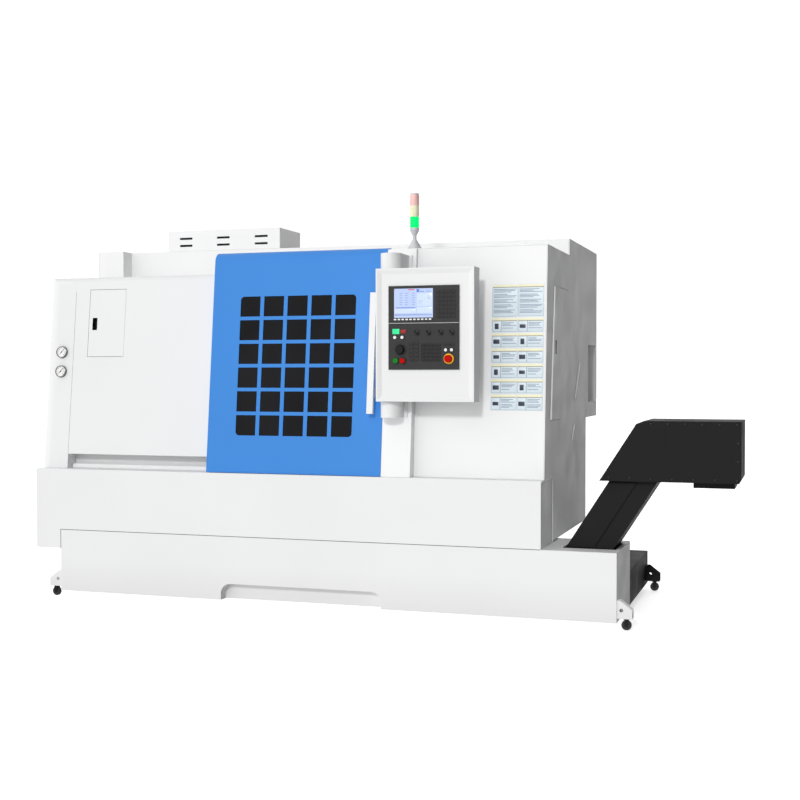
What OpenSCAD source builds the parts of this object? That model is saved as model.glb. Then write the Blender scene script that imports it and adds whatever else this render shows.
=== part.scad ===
// Turning lathe with a slant bed, a sliding door, a chip conveyor and a control pendant.
// Sizes are in millimetres. x runs to the right, y to the back and z up. Inside the modules x is 0 at the
// right end of the base tank, y is 0 at its front and z is 0 at its underside; in_frame() then moves the
// machine so that the origin lies on the floor under the middle of its outer box.

/* [Base tank] */
// Length of the base tank
base_len = 3047; // [2950:1:3120]
// Depth of the base tank from front to back
base_depth = 473; // [440:1:485]
// Height of the base tank
base_h = 336; // [310:1:380]
// Height of the base tank's underside over the floor
floor_gap = 35; // [30:1:45]
// Thickness of the folded sheet
sheet = 4; // [3:0.5:5]
// Width of the toe recess
toe_w = 889; // [600:1:1000]
// Height of the toe recess
toe_h = 87; // [60:1:110]
// Depth of the toe recess
toe_depth = 60; // [40:1:90]
// Corner radius of the toe recess
toe_r = 53; // [20:1:58]
// Distance of the toe recess from the tank's right end
toe_from_right = 1188; // [1100:1:1300]

/* [Coolant tank] */
// Length of the coolant tank
coolant_len = 950; // [700:1:960]
// Depth of the coolant tank
coolant_depth = 757; // [600:1:800]
// Height of the coolant tank
coolant_h = 181; // [150:1:200]

/* [Casters] */
// Radius of a caster wheel
wheel_r = 24; // [20:1:26]
// Width of a caster wheel
wheel_w = 20; // [14:1:24]
// Distance of a caster from the end wall that carries it
caster_out = 44; // [36:1:60]

/* [Bed skirt] */
// Height of the bed skirt
skirt_h = 333; // [300:1:360]
// Depth of the bed skirt
skirt_depth = 299; // [280:1:320]
// Reach of the skirt's overhang past the tank's left end
skirt_over = 154; // [120:1:170]
// Drop of the skirt's overhang at the left end
skirt_drop = 104; // [60:1:140]

/* [Enclosure] */
// Length of the enclosure
encl_len = 2834; // [2800:1:2900]
// Height of the enclosure over the skirt
encl_h = 1164; // [1120:1:1220]
// Distance of the enclosure's right side from the tank's right end
side_in = 367; // [340:1:400]
// Front lean of the door side, in units back per unit up
front_lean = 0.105; // [0.095:0.005:0.115]
// Front lean of the right panel, in units back per unit up
right_lean = 0.065; // [0.06:0.001:0.07]
// Setback of the right panel's foot from the skirt's front
right_foot = 84; // [78:1:90]
// Setback of the left panel's foot line from the skirt's front
left_foot = 85; // [82:1:92]
// Width of the right front panel
right_w = 673; // [620:1:700]
// Drop of the left front panel's top below the roof
left_drop = 100; // [90:1:115]
// Bend radius of the left panel's top edge
left_roll = 45; // [30:1:55]
// Depth of the gutter behind the left panel's top edge
gutter = 28; // [25:1:35]
// Height of the gap under the left front panel
sill_gap = 78; // [70:1:90]
// Width of the left corner cover's front
corner_w = 143; // [130:1:160]
// Bend radius of the left corner
corner_r = 80; // [60:1:100]
// How far that corner stands out past the side wall
corner_out = 44; // [20:1:60]
// Setback of the raised top behind the skirt's front
top_setback = 760; // [720:1:800]
// Rise of the raised top over the roof
top_rise = 89; // [60:1:110]
// Distance of the raised top from the enclosure's left end
top_step = 162; // [120:1:220]
// Setback of the rear wall behind the skirt's front
rear_setback = 1296; // [1280:1:1330]

/* [Rear cabinet] */
// Depth of the rear cabinet
cabinet_depth = 382; // [340:1:420]
// Height of the rear cabinet's underside over the skirt
cabinet_rise = 270; // [240:1:300]
// Depth of the pocket in the cabinet's right end
pocket_depth = 120; // [90:1:160]
// Width of the pocket
pocket_w = 259; // [200:1:280]
// Height of the pocket
pocket_h = 338; // [280:1:380]

/* [Vent box] */
// Length of the vent box
vent_len = 725; // [680:1:760]
// Depth of the vent box
vent_depth = 310; // [260:1:360]
// Height of the vent box
vent_h = 121; // [100:1:140]
// Length of a vent slot
slot_len = 82; // [60:1:100]
// Height of a vent slot
slot_h = 12; // [8:1:16]

/* [Sliding door] */
// Width of the sliding door
door_w = 977; // [950:1:990]
// Depth of the sliding door's folded edge
door_depth = 56; // [50:1:58]
// Setback of the door's foot from the skirt's front
door_foot = 20; // [16:1:22]
// Bend radius of the door's top edge
door_roll = 55; // [35:1:60]
// Width of the door post
post_w = 154; // [140:1:165]
// Depth of the door post
post_depth = 140; // [120:1:160]
// Number of window columns
pane_cols = 5; // [3:1:6]
// Number of window rows
pane_rows = 6; // [4:1:7]
// Width of one window cell
pane_w = 113; // [80:1:114]
// Height of one window cell
pane_h = 106.5; // [80:0.5:110]
// Width of an upright window bar
bar_w = 21.6; // [18:0.2:24]
// Height of a level window bar
bar_h = 19; // [14:1:22]
// Thickness of the window pane
glass_t = 6; // [4:1:10]
// Length of the door handle
handle_len = 620; // [500:1:700]
// Width of the door handle
handle_w = 33; // [26:1:36]
// Clear room behind the door handle
handle_gap = 40; // [34:1:48]

/* [Access doors] */
// Width of the left access door
hatch_w = 222; // [180:1:240]
// Height of the left access door along the panel
hatch_h = 375; // [320:1:390]
// Clearance round an access door
hatch_gap = 2; // [1.5:0.5:3]
// Length of the finger slot in an access door
pull_h = 66; // [50:1:80]
// Width of the finger slot in an access door
pull_w = 27; // [20:1:36]

/* [Pendant] */
// Width of the pendant
pend_w = 504; // [480:1:520]
// Height of the pendant
pend_h = 659; // [620:1:670]
// Depth of the pendant
pend_depth = 103; // [90:1:110]
// Width of the pendant's bevelled border
pend_border = 35; // [25:1:40]
// Width of the control fascia
fascia_w = 363; // [340:1:370]
// Height of the control fascia
fascia_h = 413; // [400:1:430]
// Width of the screen
screen_w = 199; // [180:1:205]
// Height of the screen
screen_h = 143; // [130:1:150]
// Radius of a pendant knuckle
knuckle_r = 53; // [48:1:54]
// Height of a pendant knuckle
knuckle_h = 79; // [60:1:86]
// Radius of the pendant's pivot pins
pivot_r = 12; // [10:1:15]

/* [Signal tower] */
// Radius of the signal tower
tower_r = 23.5; // [20:0.5:26]
// Height of one tower lens
lens_h = 57; // [48:1:62]
// Height of the tower's foot and pole
mast_h = 108; // [90:1:130]

/* [Chip conveyor] */
// Slope of the conveyor's incline in degrees
incline = 57.5; // [55:0.5:59]
// Thickness of the conveyor across its slope
conv_t = 196; // [180:1:204]
// Width of the conveyor from front to back
conv_w = 262; // [240:1:270]
// Room between the conveyor and the tank's rear edge
conv_margin = 83; // [75:1:90]
// Height of the conveyor's level run
conv_run_h = 180; // [160:1:190]
// Height of the conveyor head's underside over the tank
head_rise = 337; // [320:1:360]
// Height of the conveyor head
head_h = 292; // [270:1:310]
// Reach of the conveyor head to the right of the tank
head_reach = 568; // [540:1:600]
// Room between the trough and the head's side walls
head_margin = 46; // [36:1:50]

/* [Bed and spindle] */
// Slope of the bed in degrees
bed_deg = 45; // [43:1:47]
// Length of the bed's sloping face
slope_len = 640; // [620:1:660]
// Height of the spindle axis over the skirt
spindle_rise = 376; // [360:1:390]
// Setback of the spindle axis behind the skirt's front
spindle_setback = 430; // [425:1:440]
// Distance of the spindle axis from the bed's sloping face
swing = 378; // [370:1:390]
// Distance of the spindle axis up the slope from the face's foot
spindle_up = 194; // [190:1:200]
// Radius of the spindle journal
spindle_r = 75; // [65:1:85]
// Radius of the hole through the spindle
spindle_bore_r = 33; // [25:1:38]
// Radius of the chuck
chuck_r = 127; // [115:1:135]
// Length of the chuck
chuck_len = 110; // [95:1:120]
// Width of a guide rail
rail_w = 45; // [38:1:52]
// Height of a guide rail
rail_h = 40; // [36:1:44]
// Radius of the turret disc over its corners
turret_r = 180; // [165:1:184]
// Thickness of the turret disc
turret_t = 90; // [75:1:100]
// Number of turret stations
stations = 8; // [6:2:12]
// Radius of the tailstock quill
quill_r = 45; // [38:1:50]

/* [Hidden] */
$fn = 64;

// Clearances: between sliding faces, round a running shaft, and beyond a cut face
slide_gap = 0.3;
run_gap = 0.05;
over = 1;

// Colours
white = [0.93, 0.93, 0.93];
blue = [0.28, 0.56, 0.88];
black = [0.13, 0.13, 0.14];
iron = [0.45, 0.48, 0.5];
steel = [0.72, 0.73, 0.75];

// Levels
sill_z = base_h + skirt_h;
roof_z = sill_z + encl_h;
top_z = roof_z + top_rise;
left_top_z = roof_z - left_drop;
left_roof_z = left_top_z - gutter;
cabinet_z = sill_z + cabinet_rise;
side_foot_z = base_h + 6;

// Places along the machine
x_right = -side_in;
x_left = x_right - encl_len;
post_x1 = x_right - right_w;
post_x0 = post_x1 - post_w;
door_x1 = post_x0 - 1;
door_x0 = door_x1 - door_w;
left_x0 = x_left + corner_w;
left_x1 = door_x0 + 12;
top_x0 = x_left + top_step;
rear_y1 = rear_setback + cabinet_depth;

// Leaning fronts: a foot line carried up and back
lean_len = sqrt(1 + front_lean * front_lean);
lean_deg = atan(front_lean);
function lean_y(foot, z) = foot + front_lean * (z - sill_z);
function right_y(z) = right_foot + right_lean * (z - sill_z);

// Door rails and the rim of the left panel
rail_t = 10;
rail_rise = 22;
lower_rail_y = lean_y(left_foot, sill_z) + 45;
door_z0 = sill_z + 2;
door_z1 = roof_z + 8;
left_z0 = sill_z + sill_gap;
corner_x0 = x_left - corner_out;
corner_far = lean_y(left_foot, left_top_z) + 220;
strip_y = lean_y(left_foot, left_z0) + 87;
rim_y = lean_y(left_foot, left_top_z - left_roll) + left_roll * lean_len + 20;
upper_rail_y = rim_y + 23;
header_y = upper_rail_y + 50;
header_z = left_roof_z - 60;

// Bed slope: its foot follows from the spindle
spin_y = spindle_setback;
spin_z = sill_z + spindle_rise;
slope_y = spin_y + swing * sin(bed_deg) - spindle_up * cos(bed_deg);
slope_z = spin_z - swing * cos(bed_deg) - spindle_up * sin(bed_deg);
bed_top_y = slope_y + slope_len * cos(bed_deg);
bed_top_z = slope_z + slope_len * sin(bed_deg);
bed_y0 = base_depth + 27;
bed_y1 = rear_setback - sheet - 6;
bed_z0 = 10;
bed_x0 = x_left + 200;
bed_x1 = x_right - 130;
leg_len = [950, 600];
leg_gap = 10;
leg_x = [
    [bed_x0, bed_x0 + leg_len[0]],
    [-coolant_len - leg_gap - leg_len[1], -coolant_len - leg_gap]
];
bed_wall = 40;

// Spindle train, from left to right
wall_x = door_x0 - 18;
chuck_x0 = wall_x + 28;
jaw_x0 = chuck_x0 + chuck_len;
nose_r = 105;
nose_len = 65;
head_x1 = chuck_x0 - nose_len;
head_x0 = head_x1 - 625;
pulley_x0 = head_x0 - 110;
pulley_w = 60;
pulley_r = 110;
motor_r = 140;
motor_pulley_r = 88;
motor_y = bed_top_y + 130;
motor_z = bed_top_z + motor_r + 20;
belt_t = 8;

// Carriages on the slope
rail_up = [80, slope_len - 110];
rail_x0 = wall_x + 90;
rail_x1 = bed_x1 - 30;
saddle_len = 420;
saddle_at = 690;
saddle_x = jaw_x0 + saddle_at;
saddle_z0 = rail_h + 6;
saddle_t = 50;
cross_rail_h = 30;
cross_z0 = saddle_z0 + saddle_t + cross_rail_h + 2;
cross_t = 50;
screw_r = 16;
bearing_w = 70;
screw_up = (rail_up[0] + rail_up[1]) / 2;
screw_z = 22;
cross_screw_r = 12;
cross_screw_z = saddle_z0 + saddle_t + 15;
cross_half = [190, 150];
turret_rise = 345;
turret_up = spindle_up + turret_rise;
turret_shaft_r = 50;
turret_shaft_len = 95;
turret_x0 = saddle_x - saddle_len / 2;
tail_len = 280;
tail_x1 = rail_x1 - 10;
tail_x0 = tail_x1 - tail_len;
quill_out = 90;

// Conveyor lines across the slope
incline_run = 1 / tan(incline);
conv_run = conv_t / sin(incline);
conv_x1 = -36;
conv_x0 = -base_len + 640;
conv_y1 = base_depth - conv_margin;
conv_setback = conv_y1 - conv_w;
conv_z0 = sheet;
head_z0 = base_h + head_rise;
head_z1 = head_z0 + head_h;
head_y0 = conv_setback - head_margin;
head_y1 = conv_y1 + head_margin;
function conv_low(z) = conv_x1 + (z - base_h) * incline_run;
function conv_high(z) = conv_low(z) - conv_run;
conv_in = sheet / sin(incline);
drive_z = head_z0 + 160;
drive_x = conv_low(drive_z) - conv_run / 2;
drive_r = 62;
belt_plate = 10;
drive_shaft_r = 20;

// Pendant and its pivot
pend_front = -90;
pend_x0 = post_x0 + 12;
pend_z0 = sill_z + 384;
pivot_x = pend_x0 + knuckle_r - 1;
pivot_y = 0;
knuckle_play = 3;
fascia_t = 6;
recess = 8;
fascia_x = pend_x0 + 66;
fascia_z = pend_z0 + pend_h - 88 - fascia_h;
fascia_y = pend_front + recess;
face_y = fascia_y - fascia_t;
estop_x = fascia_x + 311;
estop_r = 18.5;
estop_out = 24;
knob_x = fascia_x + 62;
knob_z = fascia_z + 99;
estop_z = fascia_z + 53;
push_z = fascia_z + 44;
push_x = [fascia_x + 40, fascia_x + 75];
stem_r = 8;
stem_bore = 15.6;

// Fixed keys on the fascia, from its top left corner: place, columns and rows, pitch, size of a key
screen_in = [30, 14];
key_sets = [
    [[28, 161], [10, 1], [20, 10], [15, 9]], [[246, 24], [5, 7], [20, 20], [16, 15]],
    [[170, 286], [5, 5], [20.5, 18], [16, 13]], [[108, 277], [2, 5], [26, 19.5], [21, 14]],
    [[282, 282], [3, 1], [20.5, 18], [16, 12]], [[22, 212], [1, 1], [1, 1], [35, 25]],
    [[64, 216], [1, 1], [1, 1], [26, 17]]
];
divider_drop = 184;
switch_x = [146, 206, 268, 325];
switch_drop = 231;
lamp_spots = [[35, 254], [73, 254], [296, 317], [326, 317]];

// Casters: end wall side, place and the level of the plate above
caster_z = wheel_r - floor_gap + 1;
caster_spots = [
    [-base_len, -1, 30], [0, 1, 30], [-base_len, -1, base_depth - 40],
    [0, 1, base_depth + coolant_depth - 40]
];
fork_h = 32;
axle_r = 4;

// Outer box
x_min = corner_x0;
x_max = head_reach;
y_min = face_y - estop_out;
y_max = rear_y1 + 6;

// Moves a machine-frame shape to the floor's middle
module in_frame() {
    translate([-(x_min + x_max) / 2, -(y_min + y_max) / 2, floor_gap]) children();
}

// Extrudes an outline of (y, z) points from x0 to x1
module along_x(x0, x1) {
    translate([x0, 0, 0]) rotate([90, 0, 90]) linear_extrude(x1 - x0) children();
}

// Extrudes an outline of (x, z) points from y0 to y1
module along_y(y0, y1) {
    translate([0, y1, 0]) rotate([90, 0, 0]) linear_extrude(y1 - y0) children();
}

// Box between two corners
module block(x, y, z) {
    translate([x[0], y[0], z[0]]) cube([x[1] - x[0], y[1] - y[0], z[1] - z[0]]);
}

// Rod along x, y or z from a point
module rod_x(p, r, len) { translate(p) rotate([0, 90, 0]) cylinder(r = r, h = len); }
module rod_y(p, r, len) { translate(p) rotate([-90, 0, 0]) cylinder(r = r, h = len); }

// Frame of the bed's slope: y up the slope and z square to it
module on_slope() {
    translate([0, slope_y, slope_z]) rotate([bed_deg, 0, 0]) children();
}

// Frame of a leaning front at a point: y into the machine and z up the front
module on_lean(x, foot, z) {
    translate([x, lean_y(foot, z), z]) rotate([-lean_deg, 0, 0]) children();
}

// Outline behind a leaning front whose top edge is rolled over
module rolled(foot, z0, z1, r, y_back) {
    zc = z1 - r;
    yc = lean_y(foot, zc) + r * lean_len;
    polygon([
        [lean_y(foot, z0), z0], [yc - r / lean_len, zc + r * front_lean / lean_len],
        [yc, z1], [y_back, z1], [y_back, z0]
    ]);
    translate([yc, zc]) circle(r);
}

// Points of an arc about a centre
arc_steps = 24;
function arc(c, r, from, to) = [
    for (i = [0 : arc_steps]) let (a = from + (to - from) * i / arc_steps) c + r * [cos(a), sin(a)]
];

// Outline that a belt spans round two pulleys
module pulley_loop(a, b, ra, rb) {
    turn = atan2(b[1] - a[1], b[0] - a[0]);
    touch = acos((ra - rb) / norm(b - a));
    polygon(concat(arc(a, ra, turn + touch, turn + 360 - touch), arc(b, rb, turn - touch, turn + touch)));
}

// Bed casting: a slanted top on two legs, cored out from behind
module bed_outline() {
    polygon([
        [bed_y0, bed_z0], [bed_y1, bed_z0], [bed_y1, bed_top_z], [bed_top_y, bed_top_z],
        [slope_y, slope_z], [bed_y0, slope_z]
    ]);
}

module bed_core(z0, z1) {
    skin = bed_wall / sin(bed_deg);
    y0 = bed_y0 + bed_wall;
    polygon([
        [y0, z0], [bed_y1 + over, z0], [bed_y1 + over, z1],
        [slope_y + skin + z1 - slope_z, z1], [y0, slope_z + y0 - slope_y - skin]
    ]);
}

module screw_block(x) {
    translate([x, screw_up - bearing_w / 2, -over]) cube([30, bearing_w, saddle_z0 - 4 + over]);
}

module bed_casting() {
    leg_h = base_h + 44;
    arch_z = base_h + 10;
    cores = 5;
    core_w = (bed_x1 - bed_x0 - bed_wall) / cores;
    color(iron) in_frame() difference() {
        union() {
            along_x(bed_x0, bed_x1) bed_outline();
            on_slope() {
                screw_block(rail_x0 - 40);
                screw_block(rail_x1 + 5);
            }
        }
        block([leg_x[0][1], leg_x[1][0]], [bed_y0 - over, bed_y1 + over], [0, arch_z]);
        block([leg_x[1][1], bed_x1 + over], [bed_y0 - over, bed_y1 + over], [0, arch_z]);
        for (leg = leg_x)
            block([leg[0] + bed_wall, leg[1] - bed_wall], [bed_y0 + bed_wall, bed_y1 + over],
                [bed_z0 + bed_wall, arch_z]);
        for (i = [0 : cores - 1])
            along_x(bed_x0 + bed_wall + i * core_w, bed_x0 + (i + 1) * core_w)
                bed_core(leg_h, bed_top_z - bed_wall);
        on_slope() rod_x([rail_x0 - 50, screw_up, screw_z], screw_r + run_gap, rail_x1 - rail_x0 + 100);
    }
}

// Leveling feet under the bed's legs
module leveling_feet() {
    color(steel) in_frame()
        for (leg = leg_x, x = [leg[0] + 80, leg[1] - 80], y = [bed_y0 + 70, bed_y1 - 70])
            translate([x, y, -floor_gap]) {
                cylinder(r = 55, h = 16);
                cylinder(r = 18, h = floor_gap + bed_z0);
                translate([0, 0, 22]) cylinder(r = 30, h = 14, $fn = 6);
            }
}

// Guide rails along the bed's slope
module rail_section(w, h) {
    waist = w * 0.12;
    polygon([
        [-w / 2, 0], [w / 2, 0], [w / 2, h * 0.35], [w / 2 - waist, h * 0.5],
        [w / 2, h * 0.68], [w / 2, h], [-w / 2, h], [-w / 2, h * 0.68],
        [-w / 2 + waist, h * 0.5], [-w / 2, h * 0.35]
    ]);
}

module way_rails() {
    color(steel) in_frame() on_slope() for (up = rail_up)
        translate([0, up, 0]) along_x(rail_x0, rail_x1) rail_section(rail_w, rail_h);
}

// Carriage block that runs on one guide rail, from its middle
module carriage(len, top) {
    wide = rail_w + 50;
    difference() {
        translate([-len / 2, -wide / 2, 8]) cube([len, wide, top - 8]);
        translate([-len / 2 - over, -rail_w / 2 - slide_gap, 0])
            cube([len + 2 * over, rail_w + 2 * slide_gap, rail_h + slide_gap]);
    }
}

// Headstock casting on the slope round the spindle
module headstock() {
    house_r = 165;
    color(iron) in_frame() difference() {
        union() {
            on_slope() along_x(head_x0, head_x1) {
                polygon([
                    [20, 0], [spindle_up + house_r + 80, 0], [spindle_up + house_r, swing],
                    [spindle_up - house_r, swing]
                ]);
                translate([spindle_up, swing]) circle(house_r);
            }
            rod_x([head_x1 - over, spin_y, spin_z], nose_r + 25, 20);
        }
        rod_x([head_x0 - over, spin_y, spin_z], spindle_r + run_gap, head_x1 - head_x0 + 40);
        rod_x([head_x1 + 2, spin_y, spin_z], nose_r + 2, 40);
    }
}

// Spindle with its pulley at the left end
module spindle() {
    shaft_r = 58;
    color(steel) in_frame() difference() {
        union() {
            rod_x([head_x0 - 20, spin_y, spin_z], spindle_r, head_x1 - head_x0 + 25);
            rod_x([head_x1 + 4, spin_y, spin_z], nose_r, chuck_x0 - head_x1 - 4);
            rod_x([pulley_x0 - 40, spin_y, spin_z], shaft_r, head_x0 - pulley_x0 + 45);
            rod_x([pulley_x0, spin_y, spin_z], pulley_r, pulley_w);
            for (x = [pulley_x0 - 5, pulley_x0 + pulley_w])
                rod_x([x, spin_y, spin_z], pulley_r + belt_t + 6, 5);
        }
        rod_x([pulley_x0 - 50, spin_y, spin_z], spindle_bore_r, chuck_x0 - pulley_x0 + 60);
    }
}

// Chuck with three radial slots for its jaws
jaw_w = 42;
jaw_r0 = 38;
jaw_r1 = 112;
jaw_seat = 18;

module on_chuck(turn) {
    translate([jaw_x0, spin_y, spin_z]) rotate([turn, 0, 0]) children();
}

module chuck_body() {
    color(steel) in_frame() difference() {
        rod_x([chuck_x0, spin_y, spin_z], chuck_r, chuck_len);
        rod_x([chuck_x0 - over, spin_y, spin_z], spindle_bore_r, chuck_len + 2 * over);
        for (i = [0 : 2]) on_chuck(120 * i)
            translate([-jaw_seat, -jaw_w / 2 - slide_gap, 0])
                cube([jaw_seat + over, jaw_w + 2 * slide_gap, chuck_r + over]);
    }
}

// Stepped jaw that slides along its slot
module chuck_jaw(i) {
    color(iron) in_frame() on_chuck(120 * i) translate([0, -jaw_w / 2, 0]) {
        translate([-jaw_seat + slide_gap, 0, jaw_r0]) cube([jaw_seat, jaw_w, jaw_r1 - jaw_r0]);
        translate([-slide_gap, 0, jaw_r0]) cube([30, jaw_w, jaw_r1 - jaw_r0]);
        translate([30 - 2 * slide_gap, 0, jaw_r0 + 26]) cube([24, jaw_w, jaw_r1 - jaw_r0 - 26]);
    }
}

module chuck_jaw_1() { chuck_jaw(0); }
module chuck_jaw_2() { chuck_jaw(1); }
module chuck_jaw_3() { chuck_jaw(2); }

// Spindle motor with cooling fins, on feet on the bed's top
module spindle_motor() {
    len = 430;
    fins = 12;
    color([0.25, 0.28, 0.32]) in_frame() difference() {
        union() {
            rod_x([head_x0 - 20, motor_y, motor_z], motor_r - 14, len);
            for (i = [0 : fins - 1])
                rod_x([head_x0 + 20 + i * 28, motor_y, motor_z], motor_r, 12);
            for (x = [head_x0 + 60, head_x0 + len - 160])
                block([x, x + 60], [motor_y - 110, motor_y + 110], [bed_top_z, motor_z]);
        }
        rod_x([head_x0 - 30, motor_y, motor_z], 20 + run_gap, 120);
    }
}

// Motor pulley with its shaft
module motor_pulley() {
    color(steel) in_frame() {
        rod_x([pulley_x0 - 20, motor_y, motor_z], 20, head_x0 - pulley_x0 + 90);
        rod_x([pulley_x0, motor_y, motor_z], motor_pulley_r, pulley_w);
        for (x = [pulley_x0 - 5, pulley_x0 + pulley_w])
            rod_x([x, motor_y, motor_z], motor_pulley_r + belt_t + 6, 5);
    }
}

// Belt round both pulleys
module drive_belt() {
    a = [spin_y, spin_z];
    b = [motor_y, motor_z];
    play = 2 * slide_gap;
    color(black) in_frame() along_x(pulley_x0 + 1, pulley_x0 + pulley_w - 1) difference() {
        pulley_loop(a, b, pulley_r + play + belt_t, motor_pulley_r + play + belt_t);
        pulley_loop(a, b, pulley_r + play, motor_pulley_r + play);
    }
}

// Saddle on the bed's rails, with cross rails on its top
saddle_up0 = 10;
saddle_up1 = turret_up + 240;
cross_rail_in = 180;
cross_rail_up = saddle_up0 + cross_rail_in;
cross_rail_half = 140;
cross_rail_x = [saddle_x - cross_rail_half, saddle_x + cross_rail_half];

module cross_bearing(up) {
    top = saddle_z0 + saddle_t;
    translate([saddle_x - 30, up, top - over]) cube([60, 25, cross_rail_h + over]);
}

module saddle() {
    top = saddle_z0 + saddle_t;
    color(iron) in_frame() on_slope() difference() {
        union() {
            block([saddle_x - saddle_len / 2, saddle_x + saddle_len / 2], [saddle_up0, saddle_up1],
                [saddle_z0, top]);
            for (x = [saddle_x - 130, saddle_x + 130], up = rail_up)
                translate([x, up, 0]) carriage(130, saddle_z0 + over);
            translate([saddle_x - 60, screw_up - 40, 4]) cube([120, 80, saddle_z0 - 3]);
            for (x = cross_rail_x)
                translate([x, 0, top]) rotate([0, 0, 90]) along_x(cross_rail_up, saddle_up1)
                    rail_section(rail_w * 0.8, cross_rail_h);
            cross_bearing(cross_rail_up);
            cross_bearing(saddle_up1 - 25);
        }
        rod_x([saddle_x - 70, screw_up, screw_z], screw_r + slide_gap, 140);
        rod_y([saddle_x, cross_rail_up - 10, cross_screw_z], cross_screw_r + run_gap, saddle_up1);
    }
}

// Ball screws: one along the bed, one up the saddle
module z_screw() {
    color(steel) in_frame() on_slope()
        rod_x([rail_x0 - 42, screw_up, screw_z], screw_r, rail_x1 - rail_x0 + 84);
}

module x_screw() {
    color(steel) in_frame() on_slope()
        rod_y([saddle_x, cross_rail_up - 2, cross_screw_z], cross_screw_r, saddle_up1 - cross_rail_up + 10);
}

// Cross slide with the turret housing
module cross_slide() {
    half = 130;
    rail = rail_w * 0.8;
    shaft_x = turret_x0 + turret_t + 4;
    x1 = saddle_x + cross_half[0];
    up = [turret_up - cross_half[1], turret_up + cross_half[1]];
    color([0.55, 0.58, 0.6]) in_frame() on_slope() difference() {
        union() {
            block([saddle_x - cross_half[0], x1], up, [cross_z0, cross_z0 + cross_t]);
            for (x = cross_rail_x)
                block([x - rail / 2 - 22, x + rail / 2 + 22], [up[0] + 10, up[1] - 10],
                    [saddle_z0 + saddle_t + 6, cross_z0 + over]);
            block([saddle_x - 40, saddle_x + 40], [turret_up - 60, turret_up + 60],
                [saddle_z0 + saddle_t + 1, cross_z0 + over]);
            block([shaft_x, x1], [turret_up - half, turret_up + half],
                [cross_z0 + cross_t - over, swing + half - 40]);
            along_x(shaft_x, x1) translate([turret_up, swing]) circle(half);
        }
        for (x = cross_rail_x)
            block([x - rail / 2 - slide_gap, x + rail / 2 + slide_gap], [up[0] - over, up[1] + over],
                [saddle_z0 + saddle_t, saddle_z0 + saddle_t + cross_rail_h + slide_gap]);
        rod_y([saddle_x, up[0] - over, cross_screw_z], cross_screw_r + slide_gap, up[1] - up[0] + 2 * over);
        rod_x([shaft_x - over, turret_up, swing], turret_shaft_r + run_gap, turret_shaft_len + 5);
    }
}

// Turret disc: a prism with a tool slot on each flat
module turret_disc() {
    flat = turret_r * cos(180 / stations);
    tool = 25;
    color(steel) in_frame() on_slope() difference() {
        union() {
            translate([turret_x0, turret_up, swing]) rotate([180 / stations + 45, 0, 0]) rotate([0, 90, 0])
                cylinder(r = turret_r, h = turret_t, $fn = stations);
            rod_x([turret_x0 + turret_t - over, turret_up, swing], turret_shaft_r, turret_shaft_len);
            rod_x([turret_x0 - 14, turret_up, swing], 62, 15);
        }
        for (i = [0 : stations - 1])
            translate([turret_x0, turret_up, swing]) rotate([45 + i * 360 / stations, 0, 0]) {
                translate([-over, -tool / 2, flat - 42]) cube([tool + over, tool, 43]);
                translate([tool + 14, 0, flat - 55]) cylinder(r = 10, h = 56);
            }
    }
}

// Tailstock on the bed's rails
module tailstock() {
    mid = (tail_x0 + tail_x1) / 2;
    tail_grip = 200;
    tail_foot = [130, 150];
    barrel_r = 85;
    color(iron) in_frame() on_slope() difference() {
        union() {
            block([tail_x0, tail_x1], [rail_up[0] - 50, rail_up[1] + 50], [saddle_z0, saddle_z0 + 45]);
            for (up = rail_up) translate([mid, up, 0]) carriage(tail_grip, saddle_z0 + over);
            along_x(tail_x0, tail_x1) {
                polygon([
                    [spindle_up - tail_foot[0], saddle_z0 + 44], [spindle_up + tail_foot[1], saddle_z0 + 44],
                    [spindle_up + barrel_r, swing], [spindle_up - barrel_r, swing]
                ]);
                translate([spindle_up, swing]) circle(barrel_r);
            }
        }
        rod_x([tail_x0 - over, spindle_up, swing], quill_r + run_gap, tail_len - 40);
    }
}

// Quill with its live centre
module quill() {
    color(steel) in_frame() {
        rod_x([tail_x0 - quill_out, spin_y, spin_z], quill_r, quill_out + 130);
        translate([tail_x0 - quill_out - 55, spin_y, spin_z]) rotate([0, 90, 0])
            cylinder(r1 = 0.5, r2 = 26, h = 45);
        rod_x([tail_x0 - quill_out - 10, spin_y, spin_z], 26, 11);
    }
}

// Base tank: a folded sheet tray with a rim, a toe recess and a slot for the conveyor
module toe_outline(grow) {
    w = toe_w + 2 * grow;
    h = toe_h + grow;
    r = toe_r + grow;
    square([w - 2 * r, h]);
    translate([-r, 0]) square([w, h - r]);
    intersection() {
        for (x = [0, w - 2 * r]) translate([x, h - r]) circle(r);
        translate([-r, 0]) square([w, h]);
    }
}

module gusset(spot, z1) {
    thick = 6;
    translate([spot[0], spot[2], 0]) mirror([spot[1] < 0 ? 1 : 0, 0, 0]) difference() {
        union() {
            for (y = [-24, 24 - thick]) along_y(y, y + thick)
                polygon([
                    [-sheet / 2, z1], [16, z1], [caster_out + 30, z1 - 44], [caster_out + 30, z1 - 82],
                    [-sheet / 2, z1 - 82]
                ]);
            block([-sheet / 2, caster_out + 30], [-24, 24], [z1 - 88, z1 - 82]);
        }
        rod_y([22, -30, z1 - 48], 9, 60);
    }
}

gusset_z = caster_z + fork_h + 88;

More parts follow.
